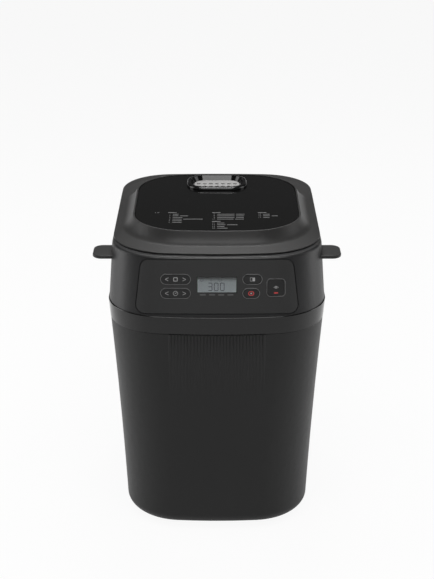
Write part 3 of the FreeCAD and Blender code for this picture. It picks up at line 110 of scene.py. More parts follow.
class Finish:
    """One material and the node-making method that every finish is written with."""

    def __init__(self, name):
        self.material = bpy.data.materials.new(FINISH_NAME.format(name))
        self.material.use_nodes = True
        self.tree = self.material.node_tree
        self.shader = next(n for n in self.tree.nodes if n.type == "BSDF_PRINCIPLED")
        self.coords = self.node("ShaderNodeTexCoord", out="Object")

    def node(self, kind, out=0, settings=None, **values):
        made = self.tree.nodes.new(kind)
        for key, value in (settings or {}).items():
            if key == "stops":
                self.ramp(made.color_ramp, value)
            else:
                setattr(made, key, value)
        for key, value in values.items():
            slot = made.inputs[key.replace("_", " ")] if not key.isdigit() else made.inputs[int(key)]
            self.feed(slot, value)
        return Sock(self.tree, made.outputs[out])

    def feed(self, slot, value):
        if isinstance(value, Sock):
            self.tree.links.new(value.socket, slot)
        else:
            slot.default_value = value

    @staticmethod
    def ramp(ramp, stops):
        while len(ramp.elements) < len(stops):
            ramp.elements.new(0.5)
        for element, (place, colour) in zip(ramp.elements, stops):
            element.position = place
            element.color = colour

    def set(self, **values):
        for key, value in values.items():
            self.feed(self.shader.inputs[key.replace("_", " ")], value)
        return self

    def noise(self, scale, detail=2.0, stretch=(1.0, 1.0, 1.0)):
        """Noise on object coordinates; scale is in features per metre."""
        where = self.node("ShaderNodeMapping", Vector=self.coords, Scale=stretch)
        return self.node("ShaderNodeTexNoise", out="Fac", Vector=where, Scale=scale, Detail=detail)

    def mix(self, factor, a, b):
        """Two colours mixed by a factor."""
        made = self.tree.nodes.new("ShaderNodeMix")
        made.data_type = "RGBA"
        self.feed(made.inputs["Factor"], factor)
        for slot, value in (("A", a), ("B", b)):
            self.feed(next(i for i in made.inputs if i.name == slot and i.type == "RGBA"), value)
        return Sock(self.tree, next(o for o in made.outputs if o.type == "RGBA"))

    def bump(self, height, strength, distance):
        grain = self.node("ShaderNodeBump", Height=height, Strength=strength, Distance=distance)
        return self.set(Normal=grain)

    def axis(self, letter):
        """One object coordinate, in metres."""
        return self.node("ShaderNodeSeparateXYZ", out=letter, Vector=self.coords)


def rgba(colour, factor=1.0):
    return tuple(min(1.0, c * factor) for c in colour[:3]) + (1.0,)


def moulded(name, colour, roughness, grain=0.25, scale=2600.0, specular=0.5):
    """Moulded plastic: a fine eroded grain, and faint clouding of its colour and gloss."""
    finish = Finish(name)
    cloud = finish.noise(26.0, 4.0)
    fine = finish.noise(scale, 3.0)
    finish.set(
        Base_Color=finish.mix(cloud, rgba(colour, 0.88), rgba(colour, 1.12)),
        Roughness=cloud * 0.06 + fine * 0.05 + (roughness - 0.055),
        Specular_IOR_Level=specular,
    )
    finish.bump(fine, grain, 0.00008)
    return finish


def polished(name, colour, roughness, specular):
    """Polished moulding: very slight orange peel and fine wipe marks."""
    finish = Finish(name)
    peel = finish.noise(90.0, 1.0)
    wipe = finish.noise(700.0, 4.0, (1.0, 0.08, 1.0))
    finish.set(
        Base_Color=finish.mix(peel, rgba(colour, 0.9), rgba(colour, 1.1)),
        Roughness=wipe * 0.05 + (roughness - 0.02),
        Specular_IOR_Level=specular,
    )
    finish.bump(peel, 0.04, 0.0003)
    return finish


def sheet_metal(name, colour, roughness, stretch=(1.0, 1.0, 0.03)):
    """Rolled metal with streaks along one direction."""
    finish = Finish(name)
    streak = finish.noise(1400.0, 5.0, stretch)
    cloud = finish.noise(18.0, 3.0)
    finish.set(
        Base_Color=finish.mix(streak * 0.6 + cloud * 0.4, rgba(colour, 0.82), rgba(colour, 1.12)),
        Metallic=1.0,
        Roughness=streak * 0.16 + cloud * 0.08 + (roughness - 0.1),
    )
    finish.bump(streak, 0.12, 0.00006)
    return finish


def coated_pan(name, colour):
    """Dark non-stick coat with pale mineral speckles."""
    finish = Finish(name)
    fleck = finish.node("ShaderNodeTexVoronoi", out="Distance", Vector=finish.coords, Scale=900.0)
    spot = finish.noise(300.0, 2.0)
    mask = (fleck < 0.16) * (spot > 0.52)
    finish.set(
        Base_Color=finish.mix(mask, rgba(colour), (0.22, 0.22, 0.21, 1.0)),
        Roughness=spot * 0.1 + 0.3,
    )
    finish.bump(fleck, 0.12, 0.00006)
    return finish


def circuit_board(name, colour):
    """Green lacquer over brighter copper tracks."""
    finish = Finish(name)
    track = finish.node("ShaderNodeTexBrick", out="Fac", Vector=finish.coords, Scale=220.0)
    cloud = finish.noise(60.0, 2.0)
    finish.set(
        Base_Color=finish.mix(track, rgba(colour), rgba(colour, 2.1)),
        Roughness=cloud * 0.15 + 0.28,
    )
    finish.bump(track, 0.2, 0.00005)
    return finish


def display_glass(name, colour, low, high):
    """Reflective display: greyer towards its upper edge, where the frame shades it."""
    finish = Finish(name)
    up = (finish.axis("Z") - low) * (1.0 / (high - low))
    tone = finish.node(
        "ShaderNodeValToRGB",
        settings={
            "stops": (
                (0.0, rgba(colour, 1.02)),
                (0.72, rgba(colour, 0.92)),
                (0.84, rgba(colour, 0.55)),
                (0.9, rgba(colour, 0.2)),
            )
        },
        Fac=up,
    )
    grain = finish.noise(5000.0, 2.0)
    finish.set(Base_Color=tone, Roughness=grain * 0.1 + 0.35)
    return finish


def clear_lens(name):
    finish = Finish(name)
    haze = finish.noise(60.0, 2.0)
    finish.set(Base_Color=(0.9, 0.93, 0.93, 1.0), Roughness=haze * 0.03 + 0.03, Alpha=haze * 0.02 + 0.06)
    return finish


def print_ink(name, colour, roughness=0.5):
    """Screen printed ink, slightly uneven in cover."""
    finish = Finish(name)
    cover = finish.noise(3500.0, 2.0)
    finish.set(Base_Color=finish.mix(cover, rgba(colour, 0.85), rgba(colour, 1.1)), Roughness=roughness)
    return finish


def lid_gloss(name, colour, front, zone):
    """Polished lid panel whose front zone is a darker printed field."""
    finish = polished(name, colour, 0.1, 0.3)
    field = finish.axis("Y") < zone
    peel = finish.noise(90.0, 1.0)
    clear = finish.mix(peel, rgba(colour, 0.92), rgba(colour, 1.08))
    finish.set(Base_Color=finish.mix(field, clear, rgba(front)))
    return finish


def colour_prop(name, default, description):
    return bpy.props.FloatVectorProperty(
        name=name, description=description, subtype="COLOR", size=3, min=0.0, max=1.0, default=default
    )


def length_prop(name, millimetres, description):
    return bpy.props.FloatProperty(
        name=name, description=description, default=millimetres * MM, subtype="DISTANCE", unit="LENGTH"
    )


class BreadFinishes(bpy.types.PropertyGroup):
    body: colour_prop("Body", (0.006, 0.006, 0.006), "Matt black of the bucket")
    gloss: colour_prop("Gloss band", (0.0025, 0.0025, 0.0025), "Gloss black of the trim band")
    lid_panel: colour_prop("Lid panel", (0.004, 0.004, 0.004), "Gloss black of the lid panel")
    lid_field: colour_prop("Lid field", (0.004, 0.004, 0.0038), "Printed field at the lid panel's front")
    housing: colour_prop("Control housing", (0.012, 0.012, 0.0125), "Satin black round the control panel")
    panel: colour_prop("Control panel", (0.0185, 0.0185, 0.0185), "Film of the control panel")
    shell: colour_prop("Shell grey", (0.03, 0.0295, 0.029), "Matt grey of collar, ears and lid frame")
    vent: colour_prop("Vent", (0.4, 0.395, 0.39), "Off-white grille")
    display: colour_prop("Display", (0.46, 0.52, 0.54), "Background of the display")
    ink: colour_prop("White ink", (0.42, 0.42, 0.42), "Printed symbols")
    red: colour_prop("Red ink", (0.55, 0.06, 0.06), "Stop symbol and start light")
    digit: colour_prop("Digits", (0.035, 0.037, 0.055), "Display segments")


class BreadSizes(bpy.types.PropertyGroup):
    flute_count: bpy.props.IntProperty(name="Flutes", description="Ribs under the band", default=30, min=2)
    flute_pitch: length_prop("Flute pitch", 3.08, "Distance from rib to rib")
    flute_length: length_prop("Flute length", 80.0, "How far the ribs run down before they fade")
    flute_height: length_prop("Flute height", 0.95, "Rib height just under the band")
    ink_thick: length_prop("Ink thickness", 0.05, "How far printed marks stand out")
    rim_proud: length_prop("Key rim", 0.28, "Height of the raised line round each key")


class BreadStudio(bpy.types.PropertyGroup):
    sky: bpy.props.FloatProperty(name="Sky", description="World light on the object", default=0.075, min=0.0)
    horizon: bpy.props.FloatProperty(
        name="Horizon", description="Height up to which reflections show the white surroundings", default=0.06
    )
    # The next three place a painted dark patch on the floor that only reflections show: painted shade in
    # front of the machine.
    painted_patch_middle: bpy.props.FloatProperty(name="Painted patch", description="Middle of the painted dark patch", default=-0.8)
    painted_patch_radius: bpy.props.FloatProperty(name="Card radius", description="Dark part of the painted patch", default=0.5)
    painted_patch_edge: bpy.props.FloatProperty(name="Card edge", description="Soft edge of the painted patch", default=0.4)
    lens: bpy.props.FloatProperty(name="Lens", description="Camera lens in millimetres", default=87.5)
    pitch: bpy.props.FloatProperty(
        name="Pitch", description="Camera tilt downwards", subtype="ANGLE", default=math.radians(21.65)
    )
    place: bpy.props.FloatVectorProperty(
        name="Place", description="Camera position", subtype="XYZ", size=3, default=(0.00007, -1.363, 0.746)
    )


def finishes():
    return bpy.context.scene.bread_finishes


def sizes():
    return bpy.context.scene.bread_sizes


def make_finishes():
    """Every finish by its slot in the record, and the inks."""
    f = finishes()
    low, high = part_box("display_module")
    vent_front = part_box("vent_bezel")[0].y
    return {
        "body_black": moulded("body_black", f.body, 0.45, 0.35, specular=0.4),
        "gloss_black": polished("gloss_black", f.gloss, 0.1, 0.5),
        "housing_black": moulded("housing_black", f.housing, 0.4, 0.12, specular=0.4),
        "panel_black": moulded("panel_black", f.panel, 0.5, 0.2),
        "shell_grey": moulded("shell_grey", f.shell, 0.42, 0.3, specular=0.25),
        "vent_white": moulded("vent_white", f.vent, 0.42, 0.15),
        "lens_clear": clear_lens("lens_clear"),
        "display_grey": display_glass("display_grey", f.display, low.z, high.z),
        "key_black": moulded("key_black", (0.012, 0.012, 0.0122), 0.4, 0.12),
        "rubber_black": moulded("rubber_black", (0.02, 0.02, 0.02), 0.75, 0.5, 1200.0),
        "board_green": circuit_board("board_green", (0.02, 0.1, 0.035)),
        "inner_plastic": moulded("inner_plastic", (0.4, 0.4, 0.38), 0.5, 0.3),
        "sheet_steel": sheet_metal("sheet_steel", (0.5, 0.5, 0.5), 0.36),
        "bar_steel": sheet_metal("bar_steel", (0.42, 0.42, 0.43), 0.3, (0.05, 0.05, 1.0)),
        "tray_aluminium": sheet_metal("tray_aluminium", (0.66, 0.66, 0.67), 0.4, (1.0, 0.03, 1.0)),
        "pan_nonstick": coated_pan("pan_nonstick", (0.03, 0.03, 0.032)),
        "bush_brass": sheet_metal("bush_brass", (0.62, 0.44, 0.18), 0.3),
        "lid_gloss": lid_gloss("lid_gloss", f.lid_panel, f.lid_field, vent_front - FIELD_BEFORE_VENT),
        "white_ink": print_ink("white_ink", f.ink),
        "grey_ink": print_ink("grey_ink", (0.17, 0.17, 0.17)),
        "rim_grey": moulded("rim_grey", (0.16, 0.16, 0.16), 0.4, 0.1),
        "red_ink": print_ink("red_ink", f.red),
        "digit_ink": print_ink("digit_ink", f.digit),
    }


def look(name):
    return bpy.data.materials[FINISH_NAME.format(name)]


def piece(name, mesh, body, material):
    """Puts a finished mesh in the scene on a body, with its finish."""
    obj = bpy.data.objects.new(name, mesh)
    bpy.context.scene.collection.objects.link(obj)
    mesh.materials.clear()
    mesh.materials.append(look(material))
    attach(obj, body)
    return obj


def finished(bm, name):
    mesh = bpy.data.meshes.new(name)
    bm.to_mesh(mesh)
    bm.free()
    return mesh


def shade(bm, angle):
    """Smooth faces, with a crease wherever the surface turns by more than an angle."""
    for face in bm.faces:
        face.smooth = True
    for edge in bm.edges:
        edge.smooth = len(edge.link_faces) == 2 and edge.calc_face_angle(0.0) < angle


def smooth_copy(node, material=None, angle=28.0):
    """A merged copy of a moulding with clean shading, in place of its loose triangles."""
    bm = bmesh.new()
    bm.from_mesh(frame["nodes"][node].data)
    bmesh.ops.remove_doubles(bm, verts=bm.verts, dist=2e-6)
    bmesh.ops.dissolve_degenerate(bm, edges=bm.edges, dist=1e-6)
    shade(bm, math.radians(angle))
    slot = SLOT_OF[node]
    obj = piece(f"{node}_shell", finished(bm, f"{node}_shell"), BODY_OF[node], material or slot)
    weighted = obj.modifiers.new("even_shading", "WEIGHTED_NORMAL")
    weighted.keep_sharp = True
    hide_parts(node)
    return obj


def front_sag(x):
    """How far the bowed front falls back at a distance from its middle."""
    return FRONT_BOW - math.sqrt(FRONT_BOW**2 - x * x)


class PanelPlace:
    """The bowed, leaning control face: x to the right, y up the slope, height out of it."""

    def __init__(self):
        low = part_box("trim_band")[1].z
        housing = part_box("control_housing")
        front, high = housing[0].y, housing[1].z
        length = math.hypot(HOUSING_RUN, high - low)
        self.up = Vector((0.0, HOUSING_RUN / length, (high - low) / length))
        self.out = Vector((0.0, -self.up.z, self.up.y))
        self.middle = Vector((0.0, front + HOUSING_RUN / 2, (low + high) / 2))

    def point(self, x, y, height):
        sag = front_sag(x)
        return self.middle + Vector((x, 0.0, 0.0)) + self.up * y + self.out * (height - sag * self.up.z)


class Marks:
    """Thin printed marks drawn flat in millimetres, then laid on a surface and given thickness."""

    def __init__(self):
        self.bm = bmesh.new()

    def bar(self, x, y, width, height, turn=0.0):
        place = (
            Matrix.Translation((x, y, 0.0))
            @ Matrix.Rotation(math.radians(turn), 4, "Z")
            @ Matrix.Diagonal((width, height, 1.0, 1.0))
        )
        bmesh.ops.create_grid(self.bm, x_segments=1, y_segments=1, size=0.5, matrix=place)

    def loop(self, x, y, half_x, half_y, corner, segments=32):
        """A closed loop of edges: a circle whose quarters are pulled apart into a rounded rectangle."""
        turn = Matrix.Rotation(math.pi / segments, 4, "Z")
        made = bmesh.ops.create_circle(self.bm, segments=segments, radius=corner, matrix=turn)
        for vert in made["verts"]:
            vert.co.x += math.copysign(half_x - corner, vert.co.x) + x
            vert.co.y += math.copysign(half_y - corner, vert.co.y) + y
        return list({edge for vert in made["verts"] for edge in vert.link_edges})

    def ring(self, x, y, half_x, half_y, corner, width):
        outer = self.loop(x, y, half_x, half_y, corner)
        inner = self.loop(x, y, half_x - width, half_y - width, max(corner - width, 0.05))
        bmesh.ops.bridge_loops(self.bm, edges=outer + inner)

    def disc(self, x, y, radius):
        place = Matrix.Translation((x, y, 0.0))
        bmesh.ops.create_circle(self.bm, cap_ends=True, segments=24, radius=radius, matrix=place)

    def chevron(self, x, y, size, way):
        for side in (-1, 1):
            self.bar(x, y + side * size * 0.22, size * 1.02, size * 0.12, side * way * 26)

    def words(self, text, x, y, size, align="LEFT"):
        """Plain figures in the built-in font."""
        curve = bpy.data.curves.new("figures", "FONT")
        curve.body = text
        curve.size = size
        curve.align_x = align
        curve.align_y = "CENTER"
        curve.resolution_u = 2
        holder = bpy.data.objects.new("figures", curve)
        mesh = bpy.data.meshes.new_from_object(holder)
        mesh.transform(Matrix.Translation((x, y, 0.0)))
        self.bm.from_mesh(mesh)
        bpy.data.meshes.remove(mesh)
        bpy.data.objects.remove(holder)
        bpy.data.curves.remove(curve)

    def laid(self, name, place, base, thick):
        """Lays the flat marks on a surface: place turns x, y and a height into a point."""
        bm = self.bm
        bmesh.ops.recalc_face_normals(bm, faces=bm.faces)
        for face in bm.faces:
            if face.normal.z < 0:
                face.normal_flip()
        for vert in bm.verts:
            vert.co = place(vert.co.x * MM, vert.co.y * MM, base)
        made = bmesh.ops.extrude_face_region(bm, geom=bm.faces[:])
        top = [v for v in made["geom"] if isinstance(v, bmesh.types.BMVert)]
        away = place(0.0, 0.0, base + thick) - place(0.0, 0.0, base)
        bmesh.ops.translate(bm, verts=top, vec=away)
        bmesh.ops.recalc_face_normals(bm, faces=bm.faces)
        return finished(bm, name)


KEYS = {
    # node: (x, y, width, height, corner) on the control face, in millimetres
    "program_rocker": (-38.9, 7.9, 26.8, 8.2, 4.1),
    "timer_rocker": (-38.9, -5.3, 26.8, 8.2, 4.1),
    "size_button": (33.4, 7.9, 17.0, 8.2, 4.1),
    "stop_button": (32.2, -5.3, 14.6, 8.2, 4.1),
    "start_button": (55.6, 0.0, 15.8, 15.2, 2.6),
}


class BREAD_OT_finishes(bpy.types.Operator):
    """Makes every finish and gives each CAD node the one that its slot names"""

    bl_idname = "bread.finishes"
    bl_label = "Finishes"

    def execute(self, context):
        made = make_finishes()
        for node, obj in frame["nodes"].items():
            obj.data.materials.clear()
            obj.data.materials.append(made[SLOT_OF[node]].material)
        return {"FINISHED"}


class BREAD_OT_shells(bpy.types.Operator):
    """Replaces the visible mouldings by merged copies with clean shading"""

    bl_idname = "bread.shells"
    bl_label = "Smooth mouldings"

    mouldings = (
        "outer_body", "trim_band", "control_housing", "collar", "left_handle", "right_handle",
        "lid_frame", "vent_bezel", "vent_grille", "control_panel", "bread_pan", "pan_handle",
        "oven_chamber", "lid_tray", "heating_element", "feet", "cord_gland", "kneading_paddle",
        "hinge_pins",
    )

    def execute(self, context):
        for node in self.mouldings:
            smooth_copy(node)
        smooth_copy("lid_panel", "lid_gloss")
        return {"FINISHED"}


class BREAD_OT_keys(bpy.types.Operator):
    """Keys with rounded edges and a raised line round each one"""

    bl_idname = "bread.keys"
    bl_label = "Keys"

    edge_round = 0.35 * MM
    rim_sunk = 0.02 * MM
    # distance outside the key in millimetres, and share of the rim's height
    rim_steps = ((0.32, 0.0), (0.42, 0.8), (0.62, 1.0), (0.82, 0.8), (0.92, 0.0))

    def execute(self, context):
        face = PanelPlace()
        for node, (x, y, width, height, corner) in KEYS.items():
            obj = smooth_copy(node)
            obj.modifiers.clear()
            soft = obj.modifiers.new("soft_edge", "BEVEL")
            soft.width = self.edge_round
            soft.segments = 3
            soft.limit_method = "ANGLE"
            weighted = obj.modifiers.new("even_shading", "WEIGHTED_NORMAL")
            weighted.keep_sharp = False
            self.rim(face, node, x, y, width, height, corner)
        return {"FINISHED"}

    def rim(self, face, node, x, y, width, height, corner):
        """A low rounded bead on the panel round a key."""
        marks = Marks()
        loops = []
        for grow, rise in self.rim_steps:
            edges = marks.loop(x, y, width / 2 + grow, height / 2 + grow, corner + grow, 48)
            for vert in {v for edge in edges for v in edge.verts}:
                vert.co.z = rise
            loops.append(edges)
        for a, b in zip(loops, loops[1:]):
            bmesh.ops.bridge_loops(marks.bm, edges=a + b)
        bmesh.ops.bridge_loops(marks.bm, edges=loops[0] + loops[-1])
        for vert in marks.bm.verts:
            rise = vert.co.z * sizes().rim_proud
            vert.co = face.point(vert.co.x * MM, vert.co.y * MM, rise - self.rim_sunk)
        bmesh.ops.recalc_face_normals(marks.bm, faces=marks.bm.faces)
        shade(marks.bm, math.radians(60))
        piece(f"{node}_rim", finished(marks.bm, f"{node}_rim"), "machine", "rim_grey")


class BREAD_OT_symbols(bpy.types.Operator):
    """Printed pictograms on the keys and ticks under the display"""

    bl_idname = "bread.symbols"
    bl_label = "Key symbols"

    def execute(self, context):
        self.face = PanelPlace()
        for node in ("program_rocker", "timer_rocker"):
            x, y = KEYS[node][:2]
            marks = Marks()
            marks.chevron(x - 8.2, y, 3.4, 1)
            marks.chevron(x + 8.2, y, 3.4, -1)
            if node == "program_rocker":
                marks.ring(x, y, 2.0, 1.9, 0.7, 0.62)
            else:
                marks.ring(x, y, 2.3, 2.2, 2.15, 0.36)
                marks.bar(x + 0.55, y + 0.3, 1.7, 0.36, 38)
                marks.bar(x - 0.4, y + 0.25, 1.2, 0.36, -42)
            self.put(marks, node, "white_ink")
        x, y = KEYS["size_button"][:2]
        marks = Marks()
        marks.ring(x - 1.1, y, 1.2, 1.7, 0.3, 0.3)
        marks.bar(x + 1.3, y, 1.9, 3.4)
        self.put(marks, "size_button", "white_ink")
        x, y = KEYS["stop_button"][:2]
        marks = Marks()
        marks.ring(x, y, 2.8, 2.1, 2.05, 0.75)
        self.put(marks, "stop_button", "red_ink")
        marks = Marks()
        marks.bar(x, y, 1.6, 1.1)
        self.put(marks, "stop_button", "white_ink", "_core")
        x, y = KEYS["start_button"][:2]
        marks = Marks()
        for side in (-1, 1):
            marks.chevron(x + side * 1.15, y + 0.4, 2.5, -side)
        marks.bar(x, y + 0.4, 0.7, 1.7)
        self.put(marks, "start_button", "white_ink")
        marks = Marks()
        marks.bar(x, y - 4.9, 3.9, 1.3)
        self.put(marks, "start_button", "red_ink", "_light")
        marks = Marks()
        for number in range(4):
            left = -13.2 + number * 8.6
            marks.bar(left, -6.6, 5.6, 0.7)
        thick = sizes().ink_thick
        mesh = marks.laid("stage_ticks", self.face.point, 0.0, thick)
        piece("stage_ticks", mesh, "machine", "grey_ink")
        return {"FINISHED"}

    def put(self, marks, node, ink, tail="_symbol"):
        mesh = marks.laid(f"{node}{tail}", self.face.point, KEY_PROUD, sizes().ink_thick)
        piece(f"{node}{tail}", mesh, BODY_OF[node], ink)


class BREAD_OT_display(bpy.types.Operator):
    """Seven-segment figures and small status marks on the display"""

    bl_idname = "bread.display"
    bl_label = "Display"

    # lens middle above the face's middle, in millimetres; depth and thickness of the figures
    lens_up = 2.1
    figures_deep = 1.6 * MM
    figures_thick = 0.06 * MM
    segments = {
        "0": "abcdef", "1": "bc", "2": "abged", "3": "abgcd", "4": "fgbc", "5": "afgcd", "6": "afgedc",
        "7": "abc", "8": "abcdefg", "9": "abcfgd",
    }

    def execute(self, context):
        face = PanelPlace()
        marks = Marks()
        x = -6.4
        for sign in "3:00":
            if sign == ":":
                marks.disc(x - 1.9, 0.4, 0.35)
                marks.disc(x - 1.9, -2.4, 0.35)
                continue
            self.digit(marks, sign, x, -1.2)
            x += 5.7
        marks.ring(-14.2, 5.2, 1.5, 1.4, 1.35, 0.35)
        marks.bar(-5.6, 5.2, 0.5, 2.2)
        marks.ring(3.0, 5.2, 1.3, 1.2, 0.5, 0.35)
        for vert in marks.bm.verts:
            vert.co.y += self.lens_up

        def flat(px, py, height):
            return face.middle + Vector((px, 0.0, 0.0)) + face.up * py + face.out * height

        mesh = marks.laid("display_figures", flat, -self.figures_deep, self.figures_thick)
        piece("display_figures", mesh, "machine", "digit_ink")
        return {"FINISHED"}

    def digit(self, marks, sign, x, y, width=3.5, height=7.0, stroke=0.72):
        half = height / 2
        spots = {
            "a": (0, half, 1), "g": (0, 0, 1), "d": (0, -half, 1),
            "f": (-width / 2, half / 2, 0), "b": (width / 2, half / 2, 0),
            "e": (-width / 2, -half / 2, 0), "c": (width / 2, -half / 2, 0),
        }
        for name in self.segments[sign]:
            dx, dy, level = spots[name]
            size = (width - 0.35, stroke) if level else (stroke, half - 0.35)
            marks.bar(x + dx, y + dy, *size)


class BREAD_OT_flutes(bpy.types.Operator):
    """Ribs on the front under the band that fade out downwards"""

    bl_idname = "bread.flutes"
    bl_label = "Front flutes"

    rows = 28
    columns_per_rib = 8
    fade_power = 1.2
    sunk = 0.1 * MM
    skin = 0.6 * MM

    def execute(self, context):
        s = sizes()
        low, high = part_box("outer_body")
        half = s.flute_count * s.flute_pitch / 2
        columns = s.flute_count * self.columns_per_rib
        bm = bmesh.new()
        bmesh.ops.create_grid(bm, x_segments=columns, y_segments=self.rows, size=1.0)
        for vert in bm.verts:
            x = vert.co.x * half
            down = (1.0 - vert.co.y) / 2 * s.flute_length
            z = high.z - down
            share = (high.z - z) / (high.z - low.z)
            fade = max(0.0, 1.0 - down / s.flute_length) ** self.fade_power
            rib = abs(math.sin(math.pi * (x + half) / s.flute_pitch))
            out = s.flute_height * fade * rib - self.sunk
            vert.co = Vector((x, low.y + FRONT_LEAN * share + front_sag(x) - out, z))
        bmesh.ops.recalc_face_normals(bm, faces=bm.faces)
        if sum(f.normal.y for f in bm.faces) > 0:
            bmesh.ops.reverse_faces(bm, faces=bm.faces)
        bmesh.ops.solidify(bm, geom=bm.faces[:], thickness=self.skin)
        shade(bm, math.radians(50))
        piece("front_flutes", finished(bm, "front_flutes"), "machine", "body_black")
        return {"FINISHED"}


class BREAD_OT_lid_print(bpy.types.Operator):
    """Plain programme numbers and word bars on the lid's front field"""

    bl_idname = "bread.lid_print"
    bl_label = "Lid print"

    # In millimetres: a column's x, its heading behind the panel's front edge, first number, bars per line
    columns = (
        (-48.5, 55.0, 1, ((5.5,), (5.5, 8.0), (9.5,), (9.0, 19.0), (9.0,), (9.0,))),
        (-4.8, 55.0, 7, ((17.0, 8.5), (17.0, 8.0), (17.0, 7.5), (16.0, 8.5))),
        (-4.8, 28.0, 11, ((7.0,), (8.0, 10.0), (7.0,), (10.0,))),
        (40.5, 55.0, 15, ((6.5,), (6.8, 6.0), (6.0,))),
    )

    line_pitch = 5.0
    word_gap = 1.6

    def execute(self, context):
        low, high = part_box("lid_panel")
        marks = Marks()
        front = low.y / MM
        for x, start, first, lines in self.columns:
            y = front + start
            marks.bar(x + 4.2, y, 8.4, 1.5)
            for number, words in enumerate(lines):
                y -= self.line_pitch
                marks.words(str(first + number), x + 3.0, y, 3.2, "RIGHT")
                left = x + 5.0
                for length in words:
                    marks.bar(left + length / 2, y, length, 1.3)
                    left += length + self.word_gap
        marks.words("1.0", -62.0, front + 55.0, 4.0)

        def flat(px, py, height):
            return Vector((px, py, high.z + height))

        mesh = marks.laid("lid_print", flat, 0.0, sizes().ink_thick)
        piece("lid_print", mesh, "lid", "grey_ink")
        return {"FINISHED"}


def light_path(tree, output):
    path = tree.nodes.new("ShaderNodeLightPath")
    return Sock(tree, path.outputs[output])


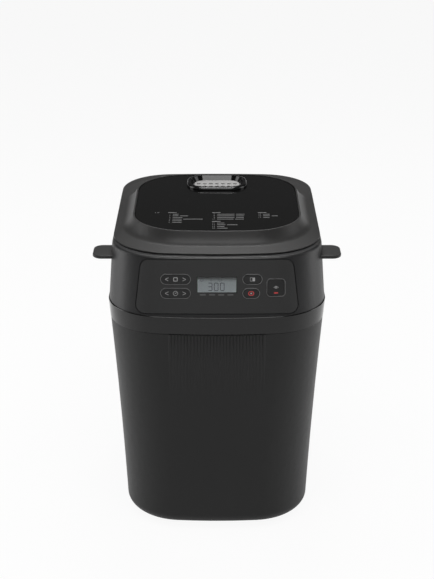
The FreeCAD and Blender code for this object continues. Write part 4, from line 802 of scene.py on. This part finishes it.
class BREAD_OT_stage(bpy.types.Operator):
    """Pale floor, soft lamps, white surroundings and the camera"""

    bl_idname = "bread.stage"
    bl_label = "Stage"

    # place, target, width, height and power of each lamp
    lamps = {
        "top_soft": ((0.0, 0.25, 1.7), (0.0, 0.0, 0.28), 1.4, 0.9, 2.0),
        "left_soft": ((-1.3, 0.2, 0.55), (0.0, 0.0, 0.16), 0.6, 1.4, 6.0),
        "right_soft": ((1.3, 0.2, 0.55), (0.0, 0.0, 0.16), 0.6, 1.4, 4.2),
        "back_soft": ((0.0, 0.9, 1.5), (0.0, -0.1, 0.28), 0.5, 0.3, 8.0),
        "over_soft": ((0.0, -0.6, 1.6), (0.0, 0.0, 0.25), 1.2, 0.8, 14.0),
        "front_fill": ((0.0, -1.7, 1.2), (0.0, 0.0, 0.2), 1.2, 0.6, 2.0),
    }

    def execute(self, context):
        scene = context.scene
        scene.view_settings.view_transform = "Standard"
        studio = scene.bread_studio
        self.floor(studio)
        self.world(scene, studio)
        for name, (place, target, width, height, power) in self.lamps.items():
            self.lamp(name, place, target, width, height, power)
        view = bpy.data.cameras.new("photo_view")
        view.lens = studio.lens
        view.sensor_width = 36.0
        view.clip_start = 0.01
        holder = bpy.data.objects.new("photo_view", view)
        holder.location = studio.place
        holder.rotation_euler = (math.pi / 2 - studio.pitch, 0.0, 0.0)
        scene.collection.objects.link(holder)
        scene.camera = holder
        return {"FINISHED"}

    def lamp(self, name, place, target, width, height, power):
        data = bpy.data.lights.new(name, "AREA")
        data.shape = "RECTANGLE"
        data.size = width
        data.size_y = height
        data.energy = power
        holder = bpy.data.objects.new(name, data)
        holder.location = place
        aim = Vector(target) - Vector(place)
        holder.rotation_euler = aim.to_track_quat("-Z", "Y").to_euler()
        bpy.context.scene.collection.objects.link(holder)

    def floor(self, studio):
        """A white floor; reflections show a soft painted dark patch on it in front of the machine."""
        bm = bmesh.new()
        bmesh.ops.create_grid(bm, x_segments=1, y_segments=1, size=4.0)
        obj = bpy.data.objects.new("floor", finished(bm, "floor"))
        bpy.context.scene.collection.objects.link(obj)
        pale = Finish("floor_white")
        pale.set(Base_Color=(0.86, 0.86, 0.86, 1.0), Roughness=0.9, Specular_IOR_Level=0.1)
        tree = pale.tree
        # Painted reflection: glossy and transmission rays see the floor glow white except in this soft
        # painted dark patch, where they see the plain lit floor.
        away = pale.node(
            "ShaderNodeVectorMath",
            out="Value",
            settings={"operation": "DISTANCE"},
            **{"0": pale.coords, "1": (0.0, studio.painted_patch_middle, 0.0)},
        )
        fade = pale.node(
            "ShaderNodeMapRange",
            out="Result",
            Value=away,
            From_Min=studio.painted_patch_radius,
            From_Max=studio.painted_patch_radius + studio.painted_patch_edge,
        )
        mirrored = light_path(tree, "Is Glossy Ray") + light_path(tree, "Is Transmission Ray")
        seen = light_path(tree, "Is Camera Ray") + mirrored * fade
        glow = tree.nodes.new("ShaderNodeEmission")
        glow.inputs["Color"].default_value = (1.0, 1.0, 1.0, 1.0)
        blend = tree.nodes.new("ShaderNodeMixShader")
        pale.feed(blend.inputs[0], seen * 0.93)
        tree.links.new(pale.shader.outputs[0], blend.inputs[1])
        tree.links.new(glow.outputs[0], blend.inputs[2])
        output = next(n for n in tree.nodes if n.type == "OUTPUT_MATERIAL")
        tree.links.new(blend.outputs[0], output.inputs["Surface"])
        obj.data.materials.append(pale.material)

    def world(self, scene, studio):
        world = bpy.data.worlds.new("white_room")
        scene.world = world
        world.use_nodes = True
        tree = world.node_tree
        ground = next(n for n in tree.nodes if n.type == "BACKGROUND")
        where = tree.nodes.new("ShaderNodeTexCoord")
        split = tree.nodes.new("ShaderNodeSeparateXYZ")
        tree.links.new(where.outputs["Generated"], split.inputs["Vector"])
        low = Sock(tree, split.outputs["Z"]) < studio.horizon
        mirrored = (light_path(tree, "Is Glossy Ray") + light_path(tree, "Is Transmission Ray")) * low
        seen = (light_path(tree, "Is Camera Ray") + mirrored) > 0.5
        strength = seen * (1.0 - studio.sky) + studio.sky
        ground.inputs["Color"].default_value = (1.0, 1.0, 1.0, 1.0)
        tree.links.new(strength.socket, ground.inputs["Strength"])


class BREAD_PT_panel(bpy.types.Panel):
    """Lists the dressing steps in the sidebar"""

    bl_idname = "BREAD_PT_panel"
    bl_label = "Bread machine"
    bl_space_type = "VIEW_3D"
    bl_region_type = "UI"
    bl_category = "Bread machine"

    def draw(self, context):
        for step in STEPS:
            self.layout.operator(step.bl_idname)
        for group in ("bread_finishes", "bread_sizes", "bread_studio"):
            settings = getattr(context.scene, group)
            for name in settings.__annotations__:
                self.layout.prop(settings, name)


GROUPS = {"bread_finishes": BreadFinishes, "bread_sizes": BreadSizes, "bread_studio": BreadStudio}
STEPS = (
    BREAD_OT_finishes,
    BREAD_OT_shells,
    BREAD_OT_keys,
    BREAD_OT_symbols,
    BREAD_OT_display,
    BREAD_OT_flutes,
    BREAD_OT_lid_print,
    BREAD_OT_stage,
)


def register():
    for cls in (*GROUPS.values(), *STEPS, BREAD_PT_panel):
        bpy.utils.register_class(cls)
    for name, group in GROUPS.items():
        setattr(bpy.types.Scene, name, bpy.props.PointerProperty(type=group))


def unregister():
    for name in GROUPS:
        delattr(bpy.types.Scene, name)
    for cls in (BREAD_PT_panel, *reversed(STEPS), *reversed(list(GROUPS.values()))):
        bpy.utils.unregister_class(cls)


def main():
    register()
    bpy.ops.bread.finishes()
    bpy.ops.bread.shells()
    bpy.ops.bread.keys()
    bpy.ops.bread.symbols()
    bpy.ops.bread.display()
    bpy.ops.bread.flutes()
    bpy.ops.bread.lid_print()
    bpy.ops.bread.stage()


if __name__ == "__main__":
    main()
